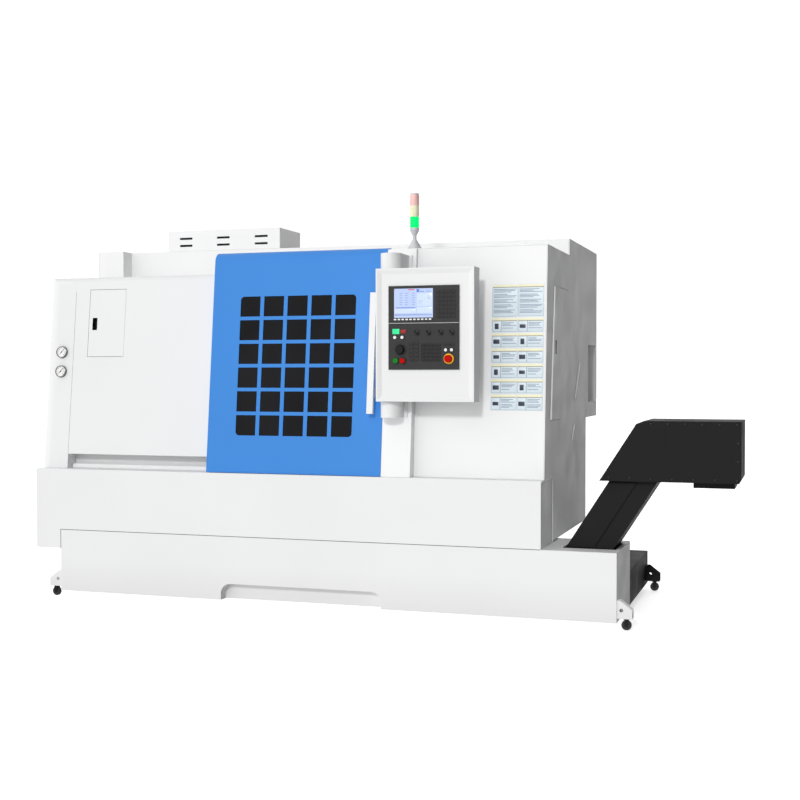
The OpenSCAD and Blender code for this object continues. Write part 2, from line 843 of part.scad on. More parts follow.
module base_tank() {
    rim = 42;
    toe_x = -toe_from_right - toe_w + toe_r;
    color(white) in_frame() difference() {
        union() {
            difference() {
                block([-base_len, 0], [0, base_depth], [0, base_h]);
                block([-base_len + sheet, -sheet], [sheet, base_depth - sheet], [sheet, base_h - sheet]);
                block([-base_len + 130, x_right - 30], [rim, base_depth - rim],
                    [base_h - 2 * sheet, base_h + over]);
            }
            translate([toe_x, 0, 0]) along_y(0, toe_depth + sheet) toe_outline(sheet);
            for (i = [0 : 2]) gusset(caster_spots[i], gusset_z);
        }
        translate([toe_x, 0, -over]) along_y(-over, toe_depth) toe_outline(0);
        block([conv_high(base_h) - 14, conv_low(base_h) + 14], [conv_setback - 12, conv_y1 + 12],
            [base_h - 2 * sheet, base_h + over]);
    }
}

// Coolant tank behind the base tank
module coolant_tank() {
    y0 = base_depth;
    y1 = y0 + coolant_depth;
    z0 = 5;
    z1 = z0 + coolant_h;
    color(black) in_frame() {
        difference() {
            block([-coolant_len, 0], [y0, y1], [z0, z1]);
            block([-coolant_len + sheet, -sheet], [y0 + sheet, y1 - sheet], [z0 + sheet, z1 - sheet]);
            block([-coolant_len + 120, -560], [y0 + 120, y1 - 120], [z1 - 2 * sheet, z1 + over]);
        }
        gusset(caster_spots[3], gusset_z);
    }
}

// Caster forks with their axles
module caster_forks() {
    inner = wheel_w / 2 + 1.5;
    color(black) in_frame() for (spot = caster_spots)
        translate([spot[0] + spot[1] * caster_out, spot[2], caster_z]) {
            translate([0, 0, fork_h - 4]) cylinder(r = 17, h = 4);
            for (y = [-inner - 4, inner]) {
                block([-9, 9], [y, y + 4], [0, fork_h - 3]);
                rod_y([0, y, 0], 9, 4);
            }
            rod_y([0, -inner - 6, 0], axle_r, 2 * inner + 12);
        }
}

// Caster wheel with a rounded tread
module caster_wheel(i) {
    spot = caster_spots[i];
    hub = 11;
    color(black) in_frame() translate([spot[0] + spot[1] * caster_out, spot[2], caster_z])
        rotate([90, 0, 0]) difference() {
            union() {
                translate([0, 0, -wheel_w / 2 + 3]) cylinder(r = wheel_r, h = wheel_w - 6);
                translate([0, 0, -wheel_w / 2]) cylinder(r = wheel_r - 3, h = wheel_w);
                translate([0, 0, -wheel_w / 2 - 1]) cylinder(r = hub, h = wheel_w + 2);
            }
            translate([0, 0, -wheel_w]) cylinder(r = axle_r + run_gap, h = 2 * wheel_w);
        }
}

module caster_wheel_1() { caster_wheel(0); }
module caster_wheel_2() { caster_wheel(1); }
module caster_wheel_3() { caster_wheel(2); }
module caster_wheel_4() { caster_wheel(3); }

// Conveyor trough: a level run in the tank and an incline up to the head
module conveyor_trough() {
    z1 = conv_z0 + conv_run_h;
    seam_x = conv_run * 0.38;
    color(black) in_frame() {
        difference() {
            along_y(conv_setback, conv_y1) polygon([
                [conv_x0, conv_z0], [conv_low(conv_z0), conv_z0], [conv_low(head_z0), head_z0],
                [conv_high(head_z0), head_z0], [conv_high(z1), z1], [conv_x0, z1]
            ]);
            along_y(conv_setback + sheet, conv_y1 - sheet) polygon([
                [conv_x0 + sheet, conv_z0 + sheet], [conv_low(conv_z0 + sheet) - conv_in, conv_z0 + sheet],
                [conv_low(head_z0 + over) - conv_in, head_z0 + over],
                [conv_high(head_z0 + over) + conv_in, head_z0 + over],
                [conv_high(z1) + conv_in, z1], [conv_high(z1) + conv_in - over, z1 + over],
                [conv_x0 + sheet, z1 + over]
            ]);
        }
        for (y = [conv_setback - 5, conv_y1])
            along_y(y, y + 5) polygon([
                [conv_low(base_h + 2) - seam_x, base_h + 2], [conv_low(base_h + 2), base_h + 2],
                [conv_low(head_z0), head_z0], [conv_low(head_z0) - seam_x, head_z0]
            ]);
    }
}

// Conveyor head: a sheet housing with a discharge below its end
module head_outline(inset) {
    z0 = head_z0 + inset;
    z1 = head_z1 - inset;
    x0 = conv_high(head_z0) - 44 + inset * 1.6;
    bevel = 15;
    x1 = head_reach - inset;
    run = (z1 - z0 - bevel) * incline_run;
    polygon([
        [x0, z0], [x0 + run, z1 - bevel], [x0 + run + 37, z1], [x1, z1], [x1, z0 + 18], [x1 - 10, z0]
    ]);
}

module conveyor_head() {
    chute_x = [head_reach - 225, head_reach - 33];
    chute_y = [conv_setback + 20, conv_y1 - 20];
    boss = 22;
    color(black) in_frame() difference() {
        union() {
            difference() {
                along_y(head_y0, head_y1) head_outline(0);
                along_y(head_y0 + sheet, head_y1 - sheet) head_outline(sheet);
            }
            block(chute_x, chute_y, [head_z0 - 29, head_z0 + sheet / 2]);
            for (y = [head_y0 + sheet / 2, head_y1 - sheet / 2 - boss])
                rod_y([drive_x, y, drive_z], 42, boss);
        }
        block([chute_x[0] + sheet, chute_x[1] - sheet], [chute_y[0] + sheet, chute_y[1] - sheet],
            [head_z0 - 40, head_z0 + 2 * sheet]);
        along_y(conv_setback + sheet, conv_y1 - sheet) polygon([
            [conv_high(head_z0 - 8) + conv_in, head_z0 - 8],
            [conv_low(head_z0 - 8) - conv_in, head_z0 - 8],
            [conv_low(head_z0 + 12) - conv_in, head_z0 + 12],
            [conv_high(head_z0 + 12) + conv_in, head_z0 + 12]
        ]);
        rod_y([drive_x, head_y0 + sheet, drive_z], drive_shaft_r + run_gap, head_y1 - head_y0 - 2 * sheet);
    }
}

// Hinged plate belt of the conveyor: one loop with pusher plates on its level run
belt_r = drive_r + belt_plate;
belt_z = conv_z0 + sheet + slide_gap + belt_r;
belt_knee = [conv_low(belt_z) - conv_run / 2, belt_z];

module belt_loop(r) {
    polygon(concat(
        arc([conv_x0 + 90, belt_z], r, 90, 270), arc(belt_knee, r, 270, 270 + incline),
        arc([drive_x, drive_z], r, 270 + incline, 450 + incline), [belt_knee + r * [-tan(incline / 2), 1]]
    ));
}

module conveyor_belt() {
    margin = 8;
    pitch = 240;
    top = belt_z + belt_r;
    color(iron) in_frame() {
        along_y(conv_setback + sheet + margin, conv_y1 - sheet - margin) difference() {
            belt_loop(belt_r);
            belt_loop(drive_r);
        }
        for (x = [conv_x0 + 200 : pitch : belt_knee[0] - 120])
            block([x, x + 6], [conv_setback + 30, conv_y1 - 30], [top - over, top + 25]);
    }
}

// Conveyor drive shaft with two sprockets
module sprocket(teeth, root, tip) {
    pitch = 360 / teeth;
    polygon([
        for (i = [0 : teeth - 1], p = [[-0.34, root], [-0.16, tip], [0.16, tip], [0.34, root]])
            p[1] * [cos((i + p[0]) * pitch), sin((i + p[0]) * pitch)]
    ]);
}

module conveyor_shaft() {
    color(steel) in_frame() {
        rod_y([drive_x, head_y0 + sheet + 2, drive_z], drive_shaft_r, head_y1 - head_y0 - 2 * sheet - 4);
        for (y = [conv_setback + 40, conv_y1 - 55])
            translate([drive_x, 0, drive_z]) along_y(y, y + 15) sprocket(11, drive_r - 16, drive_r - 2);
    }
}

// Bed skirt: front, top and end sheets, with an overhang at the left end
module bed_skirt() {
    drop_x = -base_len - 1;
    x0 = -base_len - skirt_over;
    color(white) in_frame() difference() {
        along_y(0, skirt_depth) polygon([
            [x0, base_h - skirt_drop], [drop_x, base_h - skirt_drop], [drop_x, base_h],
            [x_right, base_h], [x_right, sill_z], [x0, sill_z]
        ]);
        block([x0 + sheet, x_right - sheet], [sheet, skirt_depth + over], [base_h - over, sill_z - sheet]);
        block([x0 + sheet, drop_x - sheet], [sheet, skirt_depth + over],
            [base_h - skirt_drop + sheet, base_h]);
    }
}

// Left end cover: front strip, round corner and side wall in one folded sheet
module corner_plan(inset) {
    w = left_x0 - corner_x0 + over;
    depth = 400;
    translate([corner_x0, 0]) {
        translate([corner_r, corner_r]) circle(corner_r - inset);
        translate([corner_r, inset]) square([w - corner_r, depth]);
        translate([inset, corner_r]) square([w - inset, depth]);
    }
}

module corner_solid(inset) {
    intersection() {
        on_lean(0, left_foot, sill_z) translate([0, 0, -60]) linear_extrude(encl_h + 120) corner_plan(inset);
        along_x(corner_x0 - over, left_x0)
            rolled(left_foot + inset * lean_len, sill_z - (inset > 0 ? over : 0), left_top_z - inset,
                left_roll - inset, corner_far);
    }
}

module left_end_cover() {
    side_y0 = lean_y(left_foot, left_top_z) + 130;
    block_y = top_setback - 100;
    color(white) in_frame() {
        difference() {
            corner_solid(0);
            corner_solid(sheet);
            block([x_left + sheet, left_x0 + over], [rim_y, rim_y + 400], [left_roof_z - sheet, roof_z]);
        }
        intersection() {
            corner_solid(0);
            union() {
                block([corner_x0, x_left + sheet], [corner_far - sheet, corner_far], [sill_z, left_top_z]);
                block([corner_x0, x_left + sheet], [0, corner_far], [sill_z, sill_z + sheet]);
            }
        }
        block([x_left + sheet / 2, left_x0], [rim_y - sheet, rim_y],
            [left_roof_z - sheet, left_top_z - sheet / 2]);
        along_x(x_left, x_left + sheet) polygon([
            [skirt_depth, side_foot_z], [rear_setback, side_foot_z], [rear_setback, top_z], [block_y, top_z],
            [block_y, left_top_z], [side_y0 + 60, left_top_z], [side_y0, sill_z], [skirt_depth, sill_z]
        ]);
        along_x(left_x0 - sheet, left_x0) polygon([
            [left_foot + 1, sill_z], [strip_y, sill_z], [strip_y, left_z0 + sheet],
            [lean_y(left_foot, left_z0 + sheet) + 1, left_z0 + sheet]
        ]);
    }
}

// Left front panel: rolled top edge, rim behind it and the strip below its foot
module left_front_panel() {
    far = lean_y(left_foot, left_top_z) + 2 * left_roll + 60;
    color(white) in_frame() difference() {
        union() {
            along_x(left_x0, left_x1) {
                intersection() {
                    difference() {
                        rolled(left_foot, left_z0, left_top_z, left_roll, far);
                        rolled(left_foot + sheet * lean_len, left_z0 - over, left_top_z - sheet,
                            left_roll - sheet, far + over);
                    }
                    translate([0, sill_z]) square([rim_y, encl_h]);
                }
                translate([rim_y - sheet, left_roof_z - sheet]) square([sheet, gutter + sheet]);
                translate([lean_y(left_foot, left_z0), left_z0])
                    square([strip_y - lean_y(left_foot, left_z0), sheet]);
                translate([strip_y - sheet, sill_z]) square([sheet, sill_gap + sheet]);
            }
            on_lean(hatch_x, left_foot, hatch_z) hinge_lugs(hatch_h);
        }
        on_lean(hatch_x, left_foot, hatch_z)
            block([-hatch_w - hatch_gap, hinge_r + 1], [-over, sheet + over],
                [-hatch_gap, hatch_h + hatch_gap]);
    }
    color(steel) in_frame() on_lean(hatch_x, left_foot, hatch_z) hinge_pin(hatch_h);
}

// Hinge of an access door: its axis lies one barrel radius behind the outer face
hinge_r = 4;
hinge_pin_r = 2;
lug_h = 12;
hatch_x = left_x0 + 313;
hatch_z = sill_z + 619;

module hinge_lugs(h) {
    for (z = [-hatch_gap - lug_h, h + hatch_gap])
        block([-hinge_r, hinge_r + 6], [sheet / 2, 2 * hinge_r], [z, z + lug_h]);
}

module hinge_pin(h) {
    end = hatch_gap + lug_h - 2;
    translate([0, hinge_r, -end]) cylinder(r = hinge_pin_r, h = h + 2 * end);
}

module hinge_barrel(h) {
    translate([0, hinge_r, 0]) cylinder(r = hinge_r, h = h);
}

module hinge_hole(h) {
    translate([0, hinge_r, -over]) cylinder(r = hinge_pin_r + run_gap, h = h + 2 * over);
}

module left_access_door() {
    slot_x = -hatch_w + 23;
    slot_z = hatch_h * 0.4;
    color(white) in_frame() on_lean(hatch_x, left_foot, hatch_z) difference() {
        union() {
            block([-hatch_w, 0], [0, sheet], [0, hatch_h]);
            hinge_barrel(hatch_h);
            block([slot_x - 6, slot_x + pull_w + 6], [sheet / 2, 26], [slot_z - 6, slot_z + pull_h + 6]);
        }
        hinge_hole(hatch_h);
        block([slot_x, slot_x + pull_w], [-over, 22], [slot_z, slot_z + pull_h]);
    }
}

// Door post in line with the door's front
module door_post() {
    z1 = roof_z - sheet;
    color(white) in_frame() difference() {
        along_x(post_x0, post_x1) polygon([
            [lean_y(door_foot, sill_z), sill_z], [lean_y(door_foot, z1), z1],
            [lean_y(door_foot, z1) + post_depth, z1], [lean_y(door_foot, sill_z) + post_depth, sill_z]
        ]);
        along_x(post_x0 + sheet, post_x1 - sheet) polygon([
            [lean_y(door_foot, sill_z) + sheet, sill_z - over], [lean_y(door_foot, z1) + sheet, z1 - sheet],
            [lean_y(door_foot, z1) + 2 * post_depth, z1 - sheet],
            [lean_y(door_foot, sill_z) + 2 * post_depth, sill_z - over]
        ]);
    }
}

// Right front panel
module right_front_panel() {
    z1 = roof_z - sheet;
    color(white) in_frame() along_x(post_x1, x_right - sheet) polygon([
        [right_y(sill_z), sill_z], [right_y(z1), z1],
        [right_y(z1) + sheet, z1], [right_y(sill_z) + sheet, sill_z]
    ]);
}

// Right side panel with the opening of its access door and the pocket's mouth
side_door_y = 727;
side_foot_y = [229, 517];
side_top_y = 328;
side_step = 22;
side_drop = 212;
side_hinge_z = sill_z + 500;
side_door_h = 471;
pocket_in = [77, 87];

module side_door_outline(grow) {
    z0 = side_hinge_z - side_drop;
    z1 = side_hinge_z + side_door_h - hatch_gap;
    back = side_door_y + (grow > 0 ? hinge_r + 1 : 0);
    step = side_door_y - side_step;
    polygon([
        [side_foot_y[0] - grow, z0 - grow], [side_top_y - grow, z1 + grow], [back, z1 + grow],
        [back, side_hinge_z - grow], [step + grow, side_hinge_z - grow], [side_foot_y[1] + grow, z0 - grow]
    ]);
}

// Frame of the side door's hinge: y into the machine and z up
module on_side_hinge() {
    translate([x_right, side_door_y, side_hinge_z]) rotate([0, 0, 90]) children();
}

module pocket_outline() {
    translate([rear_setback + pocket_in[0], cabinet_z + pocket_in[1]]) square([pocket_w, pocket_h]);
}

module right_side_panel() {
    color(white) in_frame() {
        along_x(x_right - sheet, x_right) difference() {
            polygon([
                [right_y(sill_z), sill_z], [right_y(roof_z), roof_z], [top_setback, roof_z],
                [top_setback, top_z], [rear_y1, top_z], [rear_y1, cabinet_z], [rear_setback, cabinet_z],
                [rear_setback, side_foot_z], [skirt_depth, side_foot_z], [skirt_depth, sill_z]
            ]);
            side_door_outline(hatch_gap);
            pocket_outline();
        }
        on_side_hinge() hinge_lugs(side_door_h - 2);
    }
    color(steel) in_frame() on_side_hinge() hinge_pin(side_door_h - 2);
}

module side_access_door() {
    slot_y = 336;
    slot_w = 44;
    slot_z = sill_z + 626;
    color(white) in_frame() difference() {
        union() {
            along_x(x_right - sheet, x_right) side_door_outline(0);
            on_side_hinge() hinge_barrel(side_door_h - 2);
            block([x_right - 26, x_right - sheet / 2], [slot_y - 6, slot_y + slot_w + 6],
                [slot_z - 6, slot_z + pull_h + 6]);
        }
        on_side_hinge() hinge_hole(side_door_h - 2);
        block([x_right - 22, x_right + over], [slot_y, slot_y + slot_w], [slot_z, slot_z + pull_h]);
    }
}

// Rear panel below the cabinet and beside it
module rear_panel() {
    color(white) in_frame() along_y(rear_setback - sheet, rear_setback) polygon([
        [x_left + sheet, side_foot_z], [x_right - sheet, side_foot_z], [x_right - sheet, cabinet_z],
        [top_x0, cabinet_z], [top_x0, left_roof_z - sheet], [x_left + sheet, left_roof_z - sheet]
    ]);
}

// Rear cabinet: a folded box with bolted covers, louvres and a pocket at its right end
module louvres(x, z) {
    for (i = [0 : 5])
        block([x - 110, x + 110], [rear_y1 - 2 * sheet, rear_y1 + 10], [z + i * 24, z + i * 24 + 9]);
}

module rear_cabinet() {
    x1 = x_right - sheet;
    x0 = top_x0;
    covers = 3;
    gap = 24;
    cover_w = (x1 - x0 - gap) / covers - gap;
    color(white) in_frame() difference() {
        union() {
            difference() {
                block([x0, x1], [rear_setback, rear_y1], [cabinet_z, top_z]);
                block([x0 + sheet, x1 - sheet], [rear_setback - over, rear_y1 - sheet],
                    [cabinet_z + sheet, top_z - sheet]);
            }
            along_x(x1 - pocket_depth - sheet, x1)
                translate([rear_setback + pocket_in[0] - sheet, cabinet_z + pocket_in[1] - sheet])
                    square([pocket_w + 2 * sheet, pocket_h + 2 * sheet]);
            for (i = [0 : covers - 1]) {
                x = x0 + gap + i * (cover_w + gap);
                block([x, x + cover_w], [rear_y1 - over, rear_y1 + 6], [cabinet_z + gap, top_z - gap]);
            }
        }
        along_x(x1 - pocket_depth, x1 + over) pocket_outline();
        for (i = [0 : covers - 1]) {
            x = x0 + gap + i * (cover_w + gap) + cover_w / 2;
            louvres(x, cabinet_z + 90);
            louvres(x, top_z - 240);
        }
    }
}

// Roof: the chamber's roof, the lower left roof, the step between them and the raised top
module roof_panel() {
    x1 = x_right - sheet;
    door_back = lean_y(door_foot, door_z1) + door_depth + 4;
    left_block_y = top_setback - 100;
    color(white) in_frame() {
        difference() {
            union() {
                block([door_x0, x1], [door_back, top_setback + sheet], [roof_z - sheet, roof_z]);
                block([post_x0, x1], [right_y(roof_z), door_back + over], [roof_z - sheet, roof_z]);
                block([x_left + sheet, door_x0 + sheet], [rim_y, top_setback + sheet],
                    [left_roof_z - sheet, left_roof_z]);
                block([door_x0, door_x0 + sheet], [header_y, top_setback + sheet],
                    [left_roof_z - sheet, roof_z]);
                block([top_x0, x1], [top_setback, rear_setback], [left_roof_z - sheet, top_z]);
                block([x_left + sheet, top_x0 + sheet], [left_block_y, rear_setback],
                    [left_roof_z - sheet, top_z]);
            }
            block([door_x0 + sheet, x1 + over], [top_setback - over, rear_setback + over],
                [left_roof_z - 2 * sheet, roof_z - sheet]);
            block([top_x0 + 2 * sheet, x1 + over], [top_setback + sheet, rear_setback + over],
                [left_roof_z - 2 * sheet, top_z - sheet]);
            block([x_left + 2 * sheet, top_x0], [left_block_y + sheet, rear_setback - sheet],
                [left_roof_z - 2 * sheet, top_z - sheet]);
        }
    }
}

// Vent box on the raised top, with pairs of slots
module vent_box() {
    x0 = top_x0 + 250;
    fields = 3;
    pitch = (vent_len - 2 * 119) / (fields - 1);
    color(white) in_frame() difference() {
        block([x0, x0 + vent_len], [top_setback, top_setback + vent_depth], [top_z, top_z + vent_h]);
        block([x0 + sheet, x0 + vent_len - sheet], [top_setback + sheet, top_setback + vent_depth - sheet],
            [top_z - over, top_z + vent_h - sheet]);
        for (i = [0 : fields - 1], z = [33, 75])
            translate([x0 + 119 + i * pitch, 0, top_z + z])
                along_y(top_setback - over, top_setback + 2 * sheet)
                    square([slot_len, slot_h], center = true);
    }
}

// Door rails: a floor rail, a top rail and the header that carries it across the opening
module door_rails() {
    color(steel) in_frame() {
        along_x(left_x0 + 10, post_x0 - 4)
            translate([lower_rail_y - rail_t / 2, sill_z]) square([rail_t, rail_rise]);
        along_x(left_x0 + 10, post_x0 - 4)
            translate([upper_rail_y - rail_t / 2, left_roof_z]) square([rail_t, rail_rise]);
        along_x(door_x0 + sheet, post_x0 - 4) {
            translate([upper_rail_y - 20, left_roof_z - sheet]) square([header_y - upper_rail_y + 20, sheet]);
            translate([header_y - sheet, header_z]) square([sheet, roof_z - sheet - header_z]);
            translate([upper_rail_y - 20, header_z]) square([sheet, left_roof_z - header_z]);
        }
    }
}

// Bulkhead between the headstock and the machining chamber
module chamber_wall() {
    play = 0.5;
    z1 = left_roof_z - sheet;
    color(steel) in_frame() difference() {
        along_x(wall_x, wall_x + sheet) polygon([
            [strip_y, sill_z], [slope_y + (sill_z - slope_z) / tan(bed_deg) - play, sill_z],
            [bed_top_y - play, bed_top_z + play], [bed_y1, bed_top_z + play], [bed_y1, z1], [strip_y + 30, z1]
        ]);
        rod_x([wall_x - over, spin_y, spin_z], nose_r + 30, sheet + 2 * over);
    }
}

// Sliding door: a folded tray with a rolled top edge, a grille of window cells and guide shoes
window_w = pane_cols * pane_w + (pane_cols - 1) * bar_w;
window_h = pane_rows * pane_h + (pane_rows - 1) * bar_h;
window_x0 = door_x1 - 164 - window_w;
window_z0 = sill_z + 198;

module door_section(inset) {
    foot = door_foot + inset * lean_len;
    z0 = door_z0 + inset;
    z1 = door_z1 - inset;
    back = door_depth + (inset > 0 ? 2 * over : 0);
    far = lean_y(door_foot, door_z1) + 2 * door_roll + 40;
    intersection() {
        rolled(foot, z0, z1, door_roll - inset, far);
        polygon([
            [lean_y(door_foot, door_z0) - 30, door_z0], [lean_y(door_foot, door_z0) + back, door_z0],
            [lean_y(door_foot, door_z1) + back, door_z1], [lean_y(door_foot, door_z1) - 30, door_z1]
        ]);
    }
}

module window_cell(c, r) {
    corner = 20;
    x = window_x0 + c * (pane_w + bar_w);
    z = window_z0 + r * (pane_h + bar_h);
    left = c == 0;
    right = c == pane_cols - 1;
    low = r == 0;
    high = r == pane_rows - 1;
    translate([x, z]) if ((left || right) && (low || high)) {
        cx = left ? corner : pane_w - corner;
        cz = low ? corner : pane_h - corner;
        translate([cx, cz]) circle(corner);
        translate([left ? corner : 0, 0]) square([pane_w - corner, pane_h]);
        translate([0, low ? corner : 0]) square([pane_w, pane_h - corner]);
    } else square([pane_w, pane_h]);
}

module guide_shoe(x, y, z_rail, y_from, z0, z1) {
    half = 40;
    difference() {
        block([x - half, x + half], [y_from, y + 18], [z0, z1]);
        block([x - half - over, x + half + over], [y - rail_t / 2 - slide_gap, y + rail_t / 2 + slide_gap],
            [z0 - over, z_rail + slide_gap]);
    }
}

module sliding_door() {
    shoe_x = [door_x0 + 70, door_x1 - 70];
    low_y = lean_y(door_foot, door_z0) + door_depth - 2;
    arm_z = left_top_z + 6;
    arm_y = lean_y(door_foot, arm_z + 30) + 1;
    rail_top = left_roof_z + rail_rise;
    color(blue) in_frame() {
        difference() {
            along_x(door_x0, door_x1) door_section(0);
            along_x(door_x0 + sheet, door_x1 - sheet) door_section(sheet);
            along_y(-50, spin_y)
                for (c = [0 : pane_cols - 1], r = [0 : pane_rows - 1]) window_cell(c, r);
        }
        for (x = shoe_x) {
            guide_shoe(x, lower_rail_y, sill_z + rail_rise, low_y - 30, door_z0, sill_z + rail_rise + 30);
            block([x - 40, x + 40], [arm_y, upper_rail_y + 18], [arm_z, arm_z + 30]);
            guide_shoe(x, upper_rail_y, rail_top, upper_rail_y - 18, left_roof_z + 4, arm_z + over);
        }
    }
}

// Window pane behind the grille
module door_window() {
    lap = 22;
    z0 = window_z0 - lap;
    z1 = window_z0 + window_h + lap;
    y0 = door_foot + sheet * lean_len;
    color([0.1, 0.1, 0.11]) in_frame() along_x(window_x0 - lap, window_x0 + window_w + lap) polygon([
        [lean_y(y0, z0), z0], [lean_y(y0, z1), z1],
        [lean_y(y0, z1) + glass_t, z1], [lean_y(y0, z0) + glass_t, z0]
    ]);
}

// Door handle: a flat bar on two brackets
module door_handle() {
    bar_t = 18;
    handle_x = door_x1 - 68;
    handle_z = sill_z + 314;
    grip = [0.14, 0.79];
    color(white) in_frame() on_lean(handle_x, door_foot, handle_z) {
        block([0, handle_w], [-handle_gap - bar_t, -handle_gap], [0, handle_len]);
        for (g = grip)
            block([-4, handle_w - 6], [-handle_gap - over, 0], [g * handle_len, g * handle_len + 46]);
    }
}

// Pendant knuckles: round-nosed blocks on the post, bored for the pendant's pivot pins
module knuckle(z0) {
    z1 = z0 + knuckle_h;
    difference() {
        union() {
            intersection() {
                translate([pivot_x, pivot_y, z0]) cylinder(r = knuckle_r, h = knuckle_h);
                block([pivot_x - knuckle_r, pivot_x + knuckle_r], [pivot_y - knuckle_r, pivot_y + over],
                    [z0, z1]);
            }
            along_x(pivot_x - knuckle_r, pivot_x + knuckle_r) polygon([
                [pivot_y, z0], [pivot_y, z1], [lean_y(door_foot, z1), z1], [lean_y(door_foot, z0), z0]
            ]);
            along_x(pivot_x - knuckle_r - 6, pivot_x + knuckle_r + 16) polygon([
                [lean_y(door_foot, z0) - 10, z0], [lean_y(door_foot, z1) - 10, z1],
                [lean_y(door_foot, z1), z1], [lean_y(door_foot, z0), z0]
            ]);
        }
        children();
    }
}

module pendant_knuckles() {
    low = pend_z0 - knuckle_play - knuckle_h;
    high = pend_z0 + pend_h + knuckle_play;
    color(white) in_frame() {
        knuckle(low) translate([pivot_x, pivot_y, low + 30]) cylinder(r = pivot_r + run_gap, h = knuckle_h);
        knuckle(high) translate([pivot_x, pivot_y, high - over]) cylinder(r = pivot_r + run_gap, h = 50);
    }
}

// Pendant box: hollow, with a bevelled border round its front, vents behind and pivot pins
module pendant_box() {
    pin = 44;
    x1 = pend_x0 + pend_w;
    z1 = pend_z0 + pend_h;
    flat = pend_border - 6;
    wall = 3;
    back_y = pend_front + pend_depth;
    color(white) in_frame() difference() {
        union() {
            difference() {
                block([pend_x0, x1], [pend_front, back_y], [pend_z0, z1]);
                block([pend_x0 + wall, x1 - wall], [pend_front + recess + wall, back_y - wall],
                    [pend_z0 + wall, z1 - wall]);
            }
            translate([pivot_x, pivot_y, pend_z0 - pin]) cylinder(r = pivot_r, h = pend_h + 2 * pin);
        }
        for (i = [0 : 5])
            block([x1 - 190, x1 - 70], [back_y - 2 * wall, back_y + over],
                [pend_z0 + 60 + i * 16, pend_z0 + 66 + i * 16]);
        intersection() {
            translate([0, 0, pend_z0]) linear_extrude(pend_h) polygon([
                [pend_x0 + 6, pend_front - over], [x1 - 6, pend_front - over],
                [x1 - flat, pend_front + recess], [pend_x0 + flat, pend_front + recess]
            ]);
            along_x(pend_x0, x1) polygon([
                [pend_front - over, pend_z0 + 6], [pend_front - over, z1 - 6],
                [pend_front + recess, z1 - flat], [pend_front + recess, pend_z0 + flat]
            ]);
        }
    }
}

// Control fascia with its keys, collars and a divider
module key_grid(x, z, count, pitch, size) {
    for (c = [0 : count[0] - 1], r = [0 : count[1] - 1])
        block([x + c * pitch[0], x + c * pitch[0] + size[0]], [face_y - 2, face_y + over],
            [z - r * pitch[1] - size[1], z - r * pitch[1]]);
}

module collar(x, z, r, out) {
    rod_y([x, face_y - out, z], r, out + over);
}

module pendant_fascia() {
    x0 = fascia_x;
    z1 = fascia_z + fascia_h;
    screen_x = x0 + screen_in[0];
    screen_z1 = z1 - screen_in[1];
    color([0.23, 0.23, 0.23]) in_frame() difference() {
        union() {
            block([x0, x0 + fascia_w], [face_y, fascia_y], [fascia_z, z1]);
            block([x0, x0 + fascia_w], [face_y - 1.5, face_y + over],
                [z1 - divider_drop - 1.5, z1 - divider_drop + 1.5]);
            for (k = key_sets) key_grid(x0 + k[0][0], z1 - k[0][1], k[1], k[2], k[3]);
            for (x = switch_x) collar(x0 + x, z1 - switch_drop, 14, 3);
            for (spot = lamp_spots) collar(x0 + spot[0], z1 - spot[1], 9, 5);
            collar(knob_x, knob_z, 30, 3);
            collar(estop_x, estop_z, 25, 5);
            for (x = push_x) collar(x, push_z, 16, 4);
        }
        block([screen_x - slide_gap, screen_x + screen_w + slide_gap], [face_y - over, face_y + 3],
            [screen_z1 - screen_h - slide_gap, screen_z1 + slide_gap]);
        rod_y([knob_x, face_y - 10, knob_z], stem_r + run_gap, stem_bore);
        rod_y([estop_x, face_y - 10, estop_z], stem_r + run_gap, stem_bore);
        for (x = push_x) rod_y([x, face_y - 10, push_z], stem_r + run_gap, stem_bore);
    }
}

// Screen glass in the fascia
module pendant_screen() {
    x0 = fascia_x + screen_in[0];
    z1 = fascia_z + fascia_h - screen_in[1];
    color([0.62, 0.74, 0.95]) in_frame()
        block([x0, x0 + screen_w], [face_y - 1, face_y + 3], [z1 - screen_h, z1]);
}

// Push button: a cap that stands off its collar by its travel, on a stem
module push_button(x, z, cap_r, out, collar_out, travel) {
    rod_y([x, face_y - out, z], cap_r, out - collar_out - travel);
    rod_y([x, face_y - collar_out - travel - over, z], stem_r, collar_out + travel + over);
}

module estop_button() {
    color("crimson") in_frame() push_button(estop_x, estop_z, estop_r, estop_out, 5, 6);
}

module start_button() {
    color("green") in_frame() push_button(push_x[0], push_z, 13, 12, 4, 3);
}

module stop_button() {
    color("firebrick") in_frame() push_button(push_x[1], push_z, 13, 12, 4, 3);
}

// Override knob with grip flutes and a pointer
module override_knob() {
    flutes = 16;
    color(black) in_frame() translate([knob_x, face_y, knob_z]) difference() {
        union() {
            rod_y([0, -24, 0], 21, 20);
            rod_y([0, -7, 0], 25, 3.5);
            rod_y([0, -5, 0], stem_r, 9);
        }
        for (i = [0 : flutes - 1]) rotate([0, i * 360 / flutes, 0]) rod_y([22, -25, 0], 2.2, 17);
        block([-1, 1], [-25, -22.5], [4, 20]);
    }
}

// Pressure gauges on the left corner's strip
module pressure_gauges() {
    x = left_x0 - 70;
    color(steel) in_frame() for (z = [sill_z + 536, sill_z + 644])
        on_lean(x, left_foot, z) difference() {
            union() {
                rod_y([0, -3, 0], 34, 3);
                rod_y([0, -14, 0], 32, 12);
            }
            rod_y([0, -15, 0], 28.5, 4);
        }
}

// Signal tower: mast on the roof, three lenses and a cap
tower_x = post_x1 - 30;
tower_y = 200;
lens_z = roof_z + mast_h;

